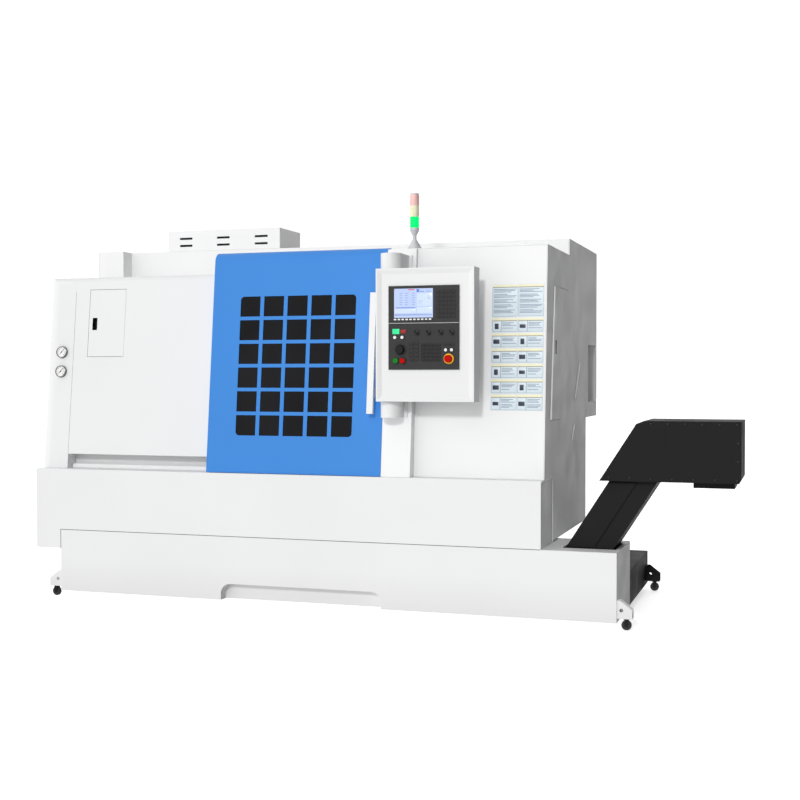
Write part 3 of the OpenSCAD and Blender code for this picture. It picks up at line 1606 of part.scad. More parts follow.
module tower_mast() {
    cap_h = 6;
    color(steel) in_frame() translate([tower_x, tower_y, roof_z]) {
        cylinder(r = 36, h = 10);
        translate([0, 0, 10]) cylinder(r1 = 34, r2 = 12, h = 37);
        cylinder(r = 10, h = mast_h - 35);
        translate([0, 0, mast_h - 38]) cylinder(r1 = 10, r2 = tower_r, h = 26);
        translate([0, 0, mast_h - 12]) cylinder(r = tower_r, h = 12);
        translate([0, 0, mast_h + 3 * lens_h]) cylinder(r = tower_r - 2, h = cap_h);
        translate([0, 0, mast_h - over]) cylinder(r = 6, h = 3 * lens_h + 2 * over);
    }
}

// Ribbed lens of the signal tower
module tower_lens(i) {
    ribs = 4;
    pitch = (lens_h - 8) / ribs;
    in_frame() translate([tower_x, tower_y, lens_z + i * lens_h]) difference() {
        union() {
            cylinder(r = tower_r - 1, h = lens_h);
            for (k = [0 : ribs - 1])
                translate([0, 0, 4 + k * pitch]) cylinder(r = tower_r, h = pitch - 2);
        }
        translate([0, 0, -over]) cylinder(r = 6 + run_gap, h = lens_h + 2 * over);
    }
}

module tower_green() { color("limegreen") tower_lens(0); }
module tower_amber() { color("orange") tower_lens(1); }
module tower_red() { color("tomato") tower_lens(2); }

bed_casting();
leveling_feet();
way_rails();
headstock();
spindle_motor();
drive_belt();
base_tank();
coolant_tank();
caster_forks();
conveyor_trough();
conveyor_head();
conveyor_belt();
bed_skirt();
left_end_cover();
left_front_panel();
door_post();
right_front_panel();
right_side_panel();
rear_panel();
rear_cabinet();
roof_panel();
vent_box();
door_rails();
chamber_wall();
pendant_knuckles();
pressure_gauges();
tower_mast();
tower_green();
tower_amber();
tower_red();
sliding_door();
door_window();
door_handle();
left_access_door();
side_access_door();
spindle();
chuck_body();
chuck_jaw_1();
chuck_jaw_2();
chuck_jaw_3();
motor_pulley();
saddle();
cross_slide();
turret_disc();
tailstock();
quill();
z_screw();
x_screw();
conveyor_shaft();
caster_wheel_1();
caster_wheel_2();
caster_wheel_3();
caster_wheel_4();
pendant_box();
pendant_fascia();
pendant_screen();
estop_button();
override_knob();
start_button();
stop_button();
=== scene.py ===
"""Finishes, trim and small fittings of a slant-bed turning lathe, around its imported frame."""
import math

import bmesh
import bpy
from mathutils import Matrix, Vector


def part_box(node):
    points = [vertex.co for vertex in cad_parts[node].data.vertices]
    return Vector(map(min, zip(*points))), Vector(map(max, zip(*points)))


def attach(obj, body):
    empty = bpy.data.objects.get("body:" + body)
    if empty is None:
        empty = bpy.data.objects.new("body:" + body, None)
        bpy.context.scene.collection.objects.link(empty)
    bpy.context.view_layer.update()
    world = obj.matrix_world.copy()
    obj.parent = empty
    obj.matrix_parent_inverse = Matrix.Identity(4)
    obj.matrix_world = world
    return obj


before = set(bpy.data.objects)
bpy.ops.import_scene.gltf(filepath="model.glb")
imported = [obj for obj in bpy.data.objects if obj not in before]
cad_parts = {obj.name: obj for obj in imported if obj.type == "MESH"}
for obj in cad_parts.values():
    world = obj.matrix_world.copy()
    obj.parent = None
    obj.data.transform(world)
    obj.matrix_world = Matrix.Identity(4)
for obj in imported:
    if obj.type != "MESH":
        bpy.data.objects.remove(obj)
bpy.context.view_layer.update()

MM = 0.001

# Machine places in millimetres: x is 0 at the base tank's right end, y at its front, z at its underside.
SILL = 669
SIDE_X = -367
LEFT_X = -3058
FRONT_LEAN = 0.105
RIGHT_LEAN = 0.065
LEFT_FOOT = 85
RIGHT_FOOT = 84

skirt_lo, skirt_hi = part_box("bed_skirt")
ORIGIN = Vector((skirt_hi[0] - SIDE_X * MM, skirt_lo[1], skirt_hi[2] - SILL * MM))


def at(x, y, z):
    """Row-frame point, in metres, of a machine point in millimetres."""
    return ORIGIN + Vector((x, y, z)) * MM


def local(point, *turns):
    """Matrix from local millimetres to a row-frame point, with (degrees, axis) turns in order."""
    matrix = Matrix.Translation(point)
    for degrees, axis in turns:
        matrix = matrix @ Matrix.Rotation(math.radians(degrees), 4, axis)
    return matrix @ Matrix.Scale(MM, 4)


def place(x, y, z, *turns):
    """Matrix from local millimetres to a machine point, with turns as above."""
    return local(at(x, y, z), *turns)


def on_front(x, z, foot, lean):
    """Frame on a leaning front panel: local y runs into the machine and local z up the panel."""
    return place(x, foot + lean * (z - SILL), z, (-math.degrees(math.atan(lean)), "X"))


# Shader pieces

def shade(colour, gain):
    """Colour times a gain, as RGBA."""
    return tuple(min(1.0, c * gain) for c in colour[:3]) + (1.0,)


class Finish:
    """A material whose textures run in row-frame metres."""

    def __init__(self, name):
        self.material = bpy.data.materials.new(name)
        self.material.use_nodes = True
        self.tree = self.material.node_tree
        self.bsdf = self.tree.nodes["Principled BSDF"]
        self.coords = self.tree.nodes.new("ShaderNodeTexCoord").outputs["Object"]

    def link(self, out, socket):
        self.tree.links.new(out, self.bsdf.inputs[socket])

    def set(self, **values):
        for socket, value in values.items():
            self.bsdf.inputs[socket.replace("_", " ")].default_value = value
        return self

    def noise(self, scale, detail=3.0, stretch=(1, 1, 1)):
        """Noise value at a number of cells per metre, squeezed along chosen axes."""
        mapping = self.tree.nodes.new("ShaderNodeMapping")
        mapping.inputs["Scale"].default_value = stretch
        texture = self.tree.nodes.new("ShaderNodeTexNoise")
        texture.inputs["Scale"].default_value = scale
        texture.inputs["Detail"].default_value = detail
        self.tree.links.new(self.coords, mapping.inputs["Vector"])
        self.tree.links.new(mapping.outputs["Vector"], texture.inputs["Vector"])
        return texture.outputs["Fac"]

    def ramp(self, value, *stops):
        """Colours at stops along a value."""
        node = self.tree.nodes.new("ShaderNodeValToRGB")
        elements = node.color_ramp.elements
        while len(elements) < len(stops):
            elements.new(0.5)
        for element, (position, colour) in zip(elements, stops):
            element.position = position
            element.color = colour
        self.tree.links.new(value, node.inputs["Fac"])
        return node.outputs["Color"]

    def span(self, value, low, high, start=0.3, end=0.7):
        """Value mapped from start..end to low..high."""
        node = self.tree.nodes.new("ShaderNodeMapRange")
        node.inputs["From Min"].default_value = start
        node.inputs["From Max"].default_value = end
        node.inputs["To Min"].default_value = low
        node.inputs["To Max"].default_value = high
        self.tree.links.new(value, node.inputs["Value"])
        return node.outputs["Result"]

    def mix(self, value, a, b):
        """Colour from a to b by a value; a and b are colours or outputs."""
        node = self.tree.nodes.new("ShaderNodeMix")
        node.data_type = "RGBA"
        self.tree.links.new(value, node.inputs["Factor"])
        for socket, colour in (("A", a), ("B", b)):
            target = next(i for i in node.inputs if i.name == socket and i.type == "RGBA")
            if isinstance(colour, bpy.types.NodeSocket):
                self.tree.links.new(colour, target)
            else:
                target.default_value = colour
        return next(o for o in node.outputs if o.type == "RGBA")

    def height(self):
        """Height over the floor in metres."""
        split = self.tree.nodes.new("ShaderNodeSeparateXYZ")
        self.tree.links.new(self.coords, split.inputs["Vector"])
        return split.outputs["Z"]

    def bump(self, value, strength, distance):
        node = self.tree.nodes.new("ShaderNodeBump")
        node.inputs["Strength"].default_value = strength
        node.inputs["Distance"].default_value = distance
        self.tree.links.new(value, node.inputs["Height"])
        self.link(node.outputs["Normal"], "Normal")
        return self


DUST = (0.42, 0.40, 0.37)
DUST_TOP = 0.22
DUST_SHARE = 0.22


def paint(name, colour, rough, grain=420.0, peel=0.12, dust=DUST, gloss=0.4):
    """Sprayed enamel: cloudy tone, orange peel, scuffs and a little dust low down."""
    f = Finish(name)
    tone = f.ramp(f.noise(1.3, 4), (0.3, shade(colour, 0.965)), (0.7, shade(colour, 1.0)))
    dusty = f.span(f.height(), DUST_SHARE, 0.0, 0.0, DUST_TOP)
    f.link(f.mix(dusty, tone, shade(dust, 1)), "Base Color")
    f.link(f.span(f.noise(7, 6), rough - 0.05, rough + 0.10), "Roughness")
    f.bump(f.noise(grain, 2), peel, 0.0006)
    return f.set(Specular_IOR_Level=gloss).material


def metal(name, colour, rough, stretch=(1, 1, 1), lines=900.0, depth=0.10):
    """Bare metal with machining marks drawn out along the axes of small stretch."""
    f = Finish(name)
    marks = f.noise(lines, 2, stretch)
    tone = f.ramp(f.noise(5, 4), (0.3, shade(colour, 0.86)), (0.7, shade(colour, 1.06)))
    f.link(tone, "Base Color")
    f.link(f.span(marks, rough - 0.08, rough + 0.12), "Roughness")
    f.bump(marks, depth, 0.0003)
    return f.set(Metallic=1.0).material


def casting(name, colour, rough=0.5):
    """Painted casting with a sandy skin."""
    f = Finish(name)
    tone = f.ramp(f.noise(14, 5), (0.32, shade(colour, 0.85)), (0.68, shade(colour, 1.08)))
    f.link(tone, "Base Color")
    f.link(f.span(f.noise(30, 4), rough - 0.08, rough + 0.12), "Roughness")
    return f.bump(f.noise(160, 5), 0.35, 0.0012).material


def plastic(name, colour, rough, grain=1500.0, skin=0.12, spread=0.06, **sockets):
    """Moulded plastic or rubber with a fine skin."""
    f = Finish(name)
    tone = f.ramp(f.noise(40, 4), (0.3, shade(colour, 1 - spread)), (0.7, shade(colour, 1 + spread)))
    f.link(tone, "Base Color")
    f.link(f.span(f.noise(90, 3), rough - 0.05, rough + 0.07), "Roughness")
    return f.bump(f.noise(grain, 2), skin, 0.0003).set(**sockets).material


def lens(name, colour, glow):
    """Ribbed lamp lens, lit where it glows."""
    f = Finish(name)
    tone = f.ramp(f.noise(60, 2, (1, 1, 0.2)), (0.3, shade(colour, 0.82)), (0.7, shade(colour, 1.08)))
    f.link(f.span(f.noise(220, 2), 0.16, 0.32), "Roughness")
    if glow:
        f.link(tone, "Emission Color")
        f.set(Base_Color=shade(colour, 0.2), Specular_IOR_Level=0.15)
    else:
        f.link(tone, "Base Color")
    return f.set(Emission_Strength=glow).bump(f.noise(300, 2, (1, 1, 0.05)), 0.2, 0.0008).material


WHITE = paint("white_enamel", (0.775, 0.778, 0.782), 0.40)
# Lighter copy of the white enamel for the upper panels, roof, vent box, door post and rails: painted
# light, as if more light fell on them from above.
PAINTED_LIGHT_WHITE = paint("white_enamel_painted_light", (0.845, 0.847, 0.850), 0.40)
WHITE_FRAME = paint("white_frame_enamel", (0.770, 0.772, 0.775), 0.42, grain=520)
BLUE = paint("blue_enamel", (0.040, 0.232, 0.665), 0.46, gloss=0.3)
BLACK = paint("black_powder_coat", (0.014, 0.014, 0.0145), 0.52, 800, 0.22, (0.03, 0.029, 0.027), 0.08)
IRON = casting("machine_grey_casting", (0.22, 0.25, 0.27))
MOTOR = casting("motor_enamel", (0.05, 0.06, 0.075), 0.42)
GROUND = metal("ground_steel", (0.60, 0.61, 0.63), 0.28, (0.03, 1, 1))
TURNED = metal("turned_steel", (0.50, 0.51, 0.53), 0.30, (1, 0.06, 0.06), 1200)
SHEET = metal("rolled_steel_sheet", (0.50, 0.51, 0.52), 0.38, (0.05, 1, 1), 500)
PLATES = metal("hinged_plate_steel", (0.30, 0.30, 0.31), 0.45, (1, 0.05, 1), 400)
ZINC = metal("zinc_plated_steel", (0.66, 0.66, 0.67), 0.26, (1, 1, 1), 700)
RIM = metal("gauge_bezel", (0.26, 0.27, 0.28), 0.34, (1, 1, 1), 900, 0.03)
RUBBER = plastic("black_rubber", (0.014, 0.014, 0.015), 0.62, 900, 0.3)
FASCIA = plastic("fascia_membrane", (0.030, 0.030, 0.031), 0.50, 2200, 0.2, Specular_IOR_Level=0.25)
# Dark strip finish: a real sealing strip under the skirt, and painted shade in the joint at the left
# corner.
SEAL_AND_SEAM_SHADE = plastic("sealing_strip_and_seam_shade", (0.10, 0.10, 0.10), 0.6, Specular_IOR_Level=0.2)
BOLT = plastic("blacked_bolt", (0.016, 0.016, 0.017), 0.36, Specular_IOR_Level=0.3)
KNOB = plastic("knob_plastic", (0.014, 0.014, 0.015), 0.46, Specular_IOR_Level=0.12)
PULL = plastic("pull_plastic", (0.008, 0.008, 0.009), 0.60, Specular_IOR_Level=0.06)
KEY_FAINT = plastic("faint_keycap", (0.026, 0.026, 0.027), 0.50, Specular_IOR_Level=0.22)
KEY_DARK = plastic("dark_keycap", (0.019, 0.019, 0.020), 0.48, Specular_IOR_Level=0.2)
DIVIDER = plastic("divider_strip", (0.46, 0.46, 0.47), 0.36)
KEY_WHITE = plastic("white_keycap", (0.80, 0.80, 0.80), 0.38)
RED = plastic("red_plastic", (0.48, 0.0, 0.0), 0.46, Specular_IOR_Level=0.08)
GREEN = plastic("green_plastic", (0.006, 0.20, 0.012), 0.46, Specular_IOR_Level=0.1)
YELLOW = plastic("yellow_plastic", (1.0, 0.54, 0.02), 0.40, Specular_IOR_Level=0.2)
SILVER = plastic("silver_plastic", (0.55, 0.56, 0.58), 0.32)
DIAL = plastic("dial_card", (0.82, 0.82, 0.80), 0.50)
INK = plastic("black_ink", (0.02, 0.02, 0.02), 0.5)
LENS_GREEN = lens("lit_green_lens", (0.0, 0.88, 0.20), 1.0)
LENS_AMBER = lens("amber_lens", (0.86, 0.84, 0.58), 0.0)
LENS_RED = lens("red_lens", (0.90, 0.56, 0.52), 0.0)
LAMP_GREEN = lens("lit_green_key", (0.05, 0.72, 0.30), 1.2)
LAMP_RED = lens("lit_red_key", (0.66, 0.06, 0.05), 0.4)


def window_glass():
    """Opaque pane whose near-black colour is painted shade of the unlit chamber behind it, with faint
    smears.
    """
    f = Finish("window_glass_painted_shade")
    tone = f.ramp(f.noise(3, 4), (0.3, (0.004, 0.004, 0.005, 1)), (0.7, (0.009, 0.009, 0.011, 1)))
    f.link(tone, "Base Color")
    f.link(f.span(f.noise(11, 6), 0.05, 0.22), "Roughness")
    return f.set(IOR=1.45, Specular_IOR_Level=0.16).bump(f.noise(6, 2), 0.02, 0.002).material


def screen_glass():
    """Lit flat panel with a faint pixel grain."""
    f = Finish("lit_screen")
    tone = f.ramp(f.noise(900, 1), (0.3, (0.48, 0.59, 0.90, 1)), (0.7, (0.53, 0.65, 0.95, 1)))
    f.link(tone, "Emission Color")
    f.link(f.span(f.noise(20, 4), 0.14, 0.28), "Roughness")
    return f.set(Base_Color=(0.03, 0.03, 0.04, 1), Emission_Strength=1.0).material


NODE_FINISH = {
    WHITE: (
        "left_end_cover left_front_panel left_access_door right_side_panel side_access_door rear_panel "
        "rear_cabinet bed_skirt base_tank"
    ),
    # Same white enamel as the lower panels, painted lighter to stand for light falling from above.
    PAINTED_LIGHT_WHITE: "right_front_panel roof_panel vent_box door_post door_rails",
    WHITE_FRAME: "pendant_box pendant_knuckles door_handle",
    BLUE: "sliding_door",
    BLACK: "coolant_tank conveyor_trough conveyor_head caster_forks",
    IRON: "bed_casting headstock saddle cross_slide tailstock",
    MOTOR: "spindle_motor",
    GROUND: "way_rails z_screw x_screw quill conveyor_shaft leveling_feet motor_pulley",
    TURNED: "spindle chuck_body chuck_jaw_1 chuck_jaw_2 chuck_jaw_3 turret_disc",
    SHEET: "chamber_wall",
    PLATES: "conveyor_belt",
    RUBBER: "drive_belt caster_wheel_1 caster_wheel_2 caster_wheel_3 caster_wheel_4",
    RIM: "pressure_gauges",
    SILVER: "tower_mast",
    LENS_GREEN: "tower_green",
    LENS_AMBER: "tower_amber",
    LENS_RED: "tower_red",
    FASCIA: "pendant_fascia",
    RED: "estop_button stop_button",
    GREEN: "start_button",
    KNOB: "override_knob",
    window_glass(): "door_window",
    screen_glass(): "pendant_screen",
}
EDGE_R = {
    WHITE: 2.0, PAINTED_LIGHT_WHITE: 2.0, WHITE_FRAME: 3.0, BLUE: 2.0, BLACK: 1.6,
    IRON: 4.0, GROUND: 0.8, TURNED: 1.2, FASCIA: 0.6,
}
WELD_GAP = 0.02 * MM
SHARP_ANGLE = math.radians(40)
CREASE_ANGLE = math.radians(35)


def soften(obj, radius):
    """Rounds a node's sharp edges without touching its own mesh."""
    weld = obj.modifiers.new("weld", "WELD")
    weld.merge_threshold = WELD_GAP
    bevel = obj.modifiers.new("edge", "BEVEL")
    bevel.width = radius * MM
    bevel.segments = 2
    bevel.limit_method = "ANGLE"
    bevel.angle_limit = SHARP_ANGLE
    bevel.use_clamp_overlap = True
    even = obj.modifiers.new("even", "WEIGHTED_NORMAL")
    even.keep_sharp = True
    even.weight = 100


for finish, names in NODE_FINISH.items():
    for name in names.split():
        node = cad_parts[name]
        node.data.materials.clear()
        node.data.materials.append(finish)
        if finish in EDGE_R:
            soften(node, EDGE_R[finish])


# Mesh pieces

class Piece:
    """A mesh gathered from shapes in local millimetres, each with one of the piece's finishes."""

    def __init__(self, *finishes):
        self.mesh = bmesh.new()
        self.finishes = finishes

    def faces(self, rings, finish, matrix, caps=True):
        """Skins closed rings of points, and caps the first and last unless told not to."""
        index = self.finishes.index(finish)
        rows = [[self.mesh.verts.new(matrix @ Vector(p)) for p in ring] for ring in rings]
        made = []
        count = len(rows[0])
        for low, high in zip(rows, rows[1:]):
            for i in range(count):
                j = (i + 1) % count
                made.append(self.mesh.faces.new((low[i], low[j], high[j], high[i])))
        if caps:
            made.append(self.mesh.faces.new(list(reversed(rows[0]))))
            made.append(self.mesh.faces.new(rows[-1]))
        for face in made:
            face.material_index = index

    def block(self, x, y, z, finish, matrix, edge=0.0):
        """Box whose front face, at the low y, is drawn in by an edge."""
        def ring(depth, inset):
            return [
                (x[0] + inset, depth, z[0] + inset), (x[1] - inset, depth, z[0] + inset),
                (x[1] - inset, depth, z[1] - inset), (x[0] + inset, depth, z[1] - inset),
            ]
        rings = [ring(y[1], 0), ring(y[0] + edge, 0)]
        if edge:
            rings += [ring(y[0] + edge * 0.3, edge * 0.3), ring(y[0], edge)]
        self.faces([list(reversed(r)) for r in rings], finish, matrix)

    def turn(self, profile, finish, matrix, steps=32, caps=True):
        """Turned shape about local y from (radius, y) points, front to back."""
        angles = [2 * math.pi * i / steps for i in range(steps)]
        rings = [[(r * math.cos(a), y, r * math.sin(a)) for a in angles] for r, y in profile]
        self.faces(rings, finish, matrix, caps)

    def done(self, name, body, smooth=True):
        """Makes the gathered mesh an object that rides a body."""
        bmesh.ops.recalc_face_normals(self.mesh, faces=self.mesh.faces[:])
        data = bpy.data.meshes.new(name)
        self.mesh.to_mesh(data)
        self.mesh.free()
        for finish in self.finishes:
            data.materials.append(finish)
        obj = bpy.data.objects.new(name, data)
        bpy.context.scene.collection.objects.link(obj)
        if smooth:
            data.shade_smooth()
            data.set_sharp_from_angle(angle=CREASE_ANGLE)
        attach(obj, body)


PULL_W = 27
SIDE_PULL_W = 44
PULL_H = 66
PULL_DEPTH = 21


def finger_pull(name, body, matrix, w):
    """Moulded cup with a lip, set in a door's finger slot."""
    piece = Piece(PULL)
    lip, taper = 1.0, -2.5
    section = ((0, lip), (-1.0, lip), (-1.4, lip - 0.4), (-1.4, -0.2), (-1.0, -0.8), (PULL_DEPTH, taper))

    def ring(y, grow):
        low, high = -grow, PULL_H + grow
        return [(-grow, y, low), (w + grow, y, low), (w + grow, y, high), (-grow, y, high)]
    piece.faces([ring(y, grow) for y, grow in section], PULL, matrix, caps=False)
    piece.faces([ring(PULL_DEPTH, taper), ring(PULL_DEPTH + 0.1, taper)], PULL, matrix)
    piece.done(name, body)


HATCH_X = LEFT_X + 313
HATCH_W = 222
HATCH_Z = SILL + 619
HATCH_PULL = (23 - HATCH_W, 0, 150)
SIDE_PULL = (336, SILL + 626)


def door_pulls():
    hatch = on_front(HATCH_X, HATCH_Z, LEFT_FOOT, FRONT_LEAN) @ Matrix.Translation(HATCH_PULL)
    finger_pull("left_hatch_pull", "left_hatch", hatch, PULL_W)
    side = place(SIDE_X, SIDE_PULL[0], SIDE_PULL[1], (90, "Z"))
    finger_pull("side_hatch_pull", "side_hatch", side, SIDE_PULL_W)


GAUGE_X = LEFT_X - 70
GAUGE_RISES = (536, 644)
DIAL_Y = -11
DIAL_R = 28.4
DIAL_MARKS = 13
FIRST_MARK = 225
MARK_STEP = 22.5
MARK_LONG = (19.0, 1.1)
MARK_SHORT = (22.0, 0.7)
MARK_END = 26.5
NEEDLE_AT = 48


def gauge_dial(piece, matrix):
    """Dial card with marks, a needle, its hub and a rim."""
    card = matrix @ Matrix.Translation((0, DIAL_Y, 0))
    piece.turn([(0.1, -0.4), (DIAL_R, -0.4), (DIAL_R, 0)], DIAL, card, 48)
    for i in range(DIAL_MARKS):
        turned = card @ Matrix.Rotation(-math.radians(FIRST_MARK - i * MARK_STEP), 4, "Y")
        inner, wide = MARK_LONG if i % 2 == 0 else MARK_SHORT
        piece.block((inner, MARK_END), (-0.9, -0.3), (-wide, wide), INK, turned)
    needle = card @ Matrix.Rotation(math.radians(-NEEDLE_AT), 4, "Y")
    piece.block((-14, 22), (-1.8, -1.2), (-1.3, 1.3), INK, needle)
    piece.turn([(0.1, -2.6), (3.2, -2.4), (3.8, -1.6), (3.8, -0.2)], INK, card, 24)
    rim = [(DIAL_R, -0.6), (29.2, -3.0), (30.6, -4.2), (32.0, -3.6), (32.5, -2.0), (32.5, 7.0)]
    piece.turn(rim, RIM, card, 48, False)


def gauge_dials():
    piece = Piece(DIAL, INK, RIM)
    for rise in GAUGE_RISES:
        gauge_dial(piece, on_front(GAUGE_X, SILL + rise, LEFT_FOOT, FRONT_LEAN))
    piece.done("gauge_dials", "machine")


# Information plate on the right front panel: bare fields of colour in two columns
PLATE = plastic("plate_film", (0.70, 0.77, 0.81), 0.40, spread=0.02)
PLATE_HEAD = plastic("plate_header", (0.86, 0.82, 0.58), 0.42, spread=0.02)
PLATE_RULE = plastic("plate_rule", (0.27, 0.25, 0.11), 0.42, spread=0.02)
PLATE_LINE = plastic("plate_line", (0.10, 0.14, 0.25), 0.42, spread=0.02)
PLATE_FIELD = plastic("plate_field", (0.65, 0.745, 0.80), 0.40, spread=0.02)
PLATE_MARK = plastic("plate_mark", (0.012, 0.016, 0.05), 0.42, spread=0.02)


PLATE_X = (-646, -379)
PLATE_Z = (1007, 1640)
PLATE_MARGIN = 4
PLATE_GUTTER = 5
PLATE_ROWS = [0.268] + [0.122] * 6
ROW_GAP = 8
HEADER_H = 12
RULE_H = 2
CELL_LINE = 1.3
MARK_CELL = 0.36
MARK_SIZES = ((15, 9), (10, 14), (16, 11))
BAR_PITCH = 6.5
BAR_H = 2.4
BAR_INSET = 6
BAR_REACHES = (1.0, 0.86, 0.94, 0.6, 0.78)


def plate_bars(piece, panel, x, z, start):
    """Bars of uneven length down a cell, in groups of three."""
    head, foot = HEADER_H + RULE_H + 9, 7
    for k in range(int((z[1] - z[0] - head - foot) // BAR_PITCH)):
        if k % 4 == 3:
            continue
        reach = (x[1] - x[0] - 2 * BAR_INSET) * BAR_REACHES[(2 * k + start) % len(BAR_REACHES)]
        left, top = x[0] + BAR_INSET, z[1] - head - BAR_PITCH * k
        piece.block((left, left + reach), (-1.9, -1.6), (top - BAR_H, top), PLATE_LINE, panel)


def plate_entry(piece, panel, x, z, row, column):
    """A header over a cell of bars and, below the first row, a cell with a plain mark."""
    body_top = z[1] - HEADER_H - RULE_H
    split = x[0] + MARK_CELL * (x[1] - x[0])
    cells = [(x[0], split), (split, x[1])] if row else [x]
    piece.block(x, (-1.7, -1.1), (z[1] - HEADER_H, z[1]), PLATE_HEAD, panel, 0.2)
    piece.block(x, (-1.8, -1.1), (body_top, z[1] - HEADER_H), PLATE_RULE, panel)
    piece.block(x, (-1.5, -1.1), (z[0], body_top), PLATE_LINE, panel)
    for left, right in cells:
        field_x = (left + CELL_LINE, right - CELL_LINE / 2)
        piece.block(field_x, (-1.7, -1.4), (z[0] + CELL_LINE, body_top - 1), PLATE_FIELD, panel, 0.1)
    plate_bars(piece, panel, cells[-1], z, row + column)
    if row:
        mid_x, mid_z = (x[0] + split) / 2, (z[0] + body_top) / 2
        wide, tall = MARK_SIZES[(row + 2 * column) % len(MARK_SIZES)]
        mark_x, mark_z = (mid_x - wide, mid_x + wide), (mid_z - tall, mid_z + tall)
        piece.block(mark_x, (-1.9, -1.6), mark_z, PLATE_MARK, panel, 0.2)


def info_plate():
    panel = on_front(PLATE_X[0], PLATE_Z[0], RIGHT_FOOT, RIGHT_LEAN)
    w, h = PLATE_X[1] - PLATE_X[0], (PLATE_Z[1] - PLATE_Z[0]) * math.hypot(1, RIGHT_LEAN)
    piece = Piece(PLATE, PLATE_HEAD, PLATE_RULE, PLATE_LINE, PLATE_FIELD, PLATE_MARK)
    piece.block((0, w), (-1.2, 0), (0, h), PLATE, panel, 0.4)
    entry_w = (w - 2 * PLATE_MARGIN - PLATE_GUTTER) / 2
    top = h - PLATE_MARGIN
    for row, share in enumerate(PLATE_ROWS):
        foot = top - share * (h - 2 * PLATE_MARGIN)
        gap = ROW_GAP if row < len(PLATE_ROWS) - 1 else 0
        for column in range(2):
            left = PLATE_MARGIN + column * (entry_w + PLATE_GUTTER)
            plate_entry(piece, panel, (left, left + entry_w), (foot + gap, top), row, column)
        top = foot
    piece.done("information_plate", "machine")


# Pendant: local x from the fascia's left edge, local z down from its top edge as negative values
fascia_lo, fascia_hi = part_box("pendant_fascia")
screen_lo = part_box("pendant_screen")[0]
SCREEN_PROUD = 1
FASCIA_W = 363
FASCIA_H = 413
fascia = local((fascia_lo[0], screen_lo[1] + SCREEN_PROUD * MM, fascia_hi[2]))
DIVIDER_Z = (-185.5, -182.5)
LAMPS = ((35, -254), (73, -254), (296, -317), (326, -317))
SWITCH_X = (146, 206, 268, 325)
SWITCH_Z = -231
SWITCH_TURN = -48
ESTOP = (311, 53 - FASCIA_H)
PUSH_X = (40, 75)
PUSH_Z = 44 - FASCIA_H


def on_fascia(x, z):
    return fascia @ Matrix.Translation((x, 0, z))


def key_grid(piece, x, z, count, pitch, size, finish, grow=0.3):
    """Keycaps over a block of the fascia's keys, columns by rows."""
    for c in range(count[0]):
        for r in range(count[1]):
            x0, z1 = x + c * pitch[0], z - r * pitch[1]
            cap_x = (x0 - grow, x0 + size[0] + grow)
            cap_z = (z1 - size[1] - grow, z1 + grow)
            piece.block(cap_x, (-3.6, -1.9), cap_z, finish, fascia, 1.0)


def keycaps(piece):
    key_grid(piece, 28, -161, (10, 1), (20, 10), (15, 9), KEY_WHITE, -0.9)
    key_grid(piece, 246, -24, (5, 7), (20, 20), (16, 15), KEY_FAINT)
    key_grid(piece, 170, -286, (5, 5), (20.5, 18), (16, 13), KEY_DARK)
    key_grid(piece, 108, -277, (2, 5), (26, 19.5), (21, 14), KEY_FAINT)
    key_grid(piece, 282, -282, (3, 1), (20.5, 18), (16, 12), KEY_FAINT)
    key_grid(piece, 22, -212, (1, 1), (1, 1), (35, 25), LAMP_GREEN)
    key_grid(piece, 64, -216, (1, 1), (1, 1), (26, 17), LAMP_RED)


def lamp(piece, spot):
    """White lamp cap in a dark collar."""
    piece.turn([(0.1, -9.0), (6.0, -8.8), (7.8, -7.6), (8.2, -5.0)], KEY_WHITE, spot, 28)
    piece.turn([(8.4, -5.6), (9.2, -5.2), (9.6, -4.0), (9.6, 0)], KNOB, spot, 28, False)


def rotary_switch(piece, spot):
    """Disc with a slanting grip and its pointer."""
    piece.turn([(0.1, -5.4), (11.6, -5.2), (13.4, -4.0), (14.4, -1.6), (14.4, 0)], FASCIA, spot, 36)
    grip = spot @ Matrix.Rotation(math.radians(SWITCH_TURN), 4, "Y")
    piece.block((-3.4, 3.4), (-15.0, -5.0), (-12.6, 12.6), KNOB, grip, 1.6)
    piece.block((-0.5, 0.5), (-15.3, -14.6), (3.0, 10.6), KEY_DARK, grip, 0.1)


def pendant_controls():
    piece = Piece(KEY_DARK, KEY_FAINT, KEY_WHITE, LAMP_GREEN, LAMP_RED, YELLOW, DIVIDER, KNOB, FASCIA)
    keycaps(piece)
    piece.block((1, FASCIA_W - 1), (-2.2, -0.6), DIVIDER_Z, DIVIDER, fascia, 0.6)
    for x, z in LAMPS:
        lamp(piece, on_fascia(x, z))
    for x in SWITCH_X:
        rotary_switch(piece, on_fascia(x, SWITCH_Z))
    piece.turn([(19.5, -6.8), (24.0, -6.4), (25.4, -5.0), (25.4, 0)], YELLOW, on_fascia(*ESTOP), 48, False)
    for x in PUSH_X:
        collar = [(13.6, -4.6), (15.2, -4.3), (16.0, -3.4), (16.0, 0)]
        piece.turn(collar, KNOB, on_fascia(x, PUSH_Z), 36, False)
    piece.done("fascia_keys", "pendant")


def lit(name, colour, glow):
    """Lit field on the screen with a soft unevenness."""
    f = Finish(name)
    tone = f.ramp(f.noise(400, 1), (0.3, shade(colour, 0.94)), (0.7, shade(colour, 1.04)))
    f.link(tone, "Emission Color")
    return f.set(Base_Color=(0.03, 0.03, 0.04, 1), Emission_Strength=glow, Roughness=0.25).material


SCREEN_X = 30
SCREEN_Z = -14


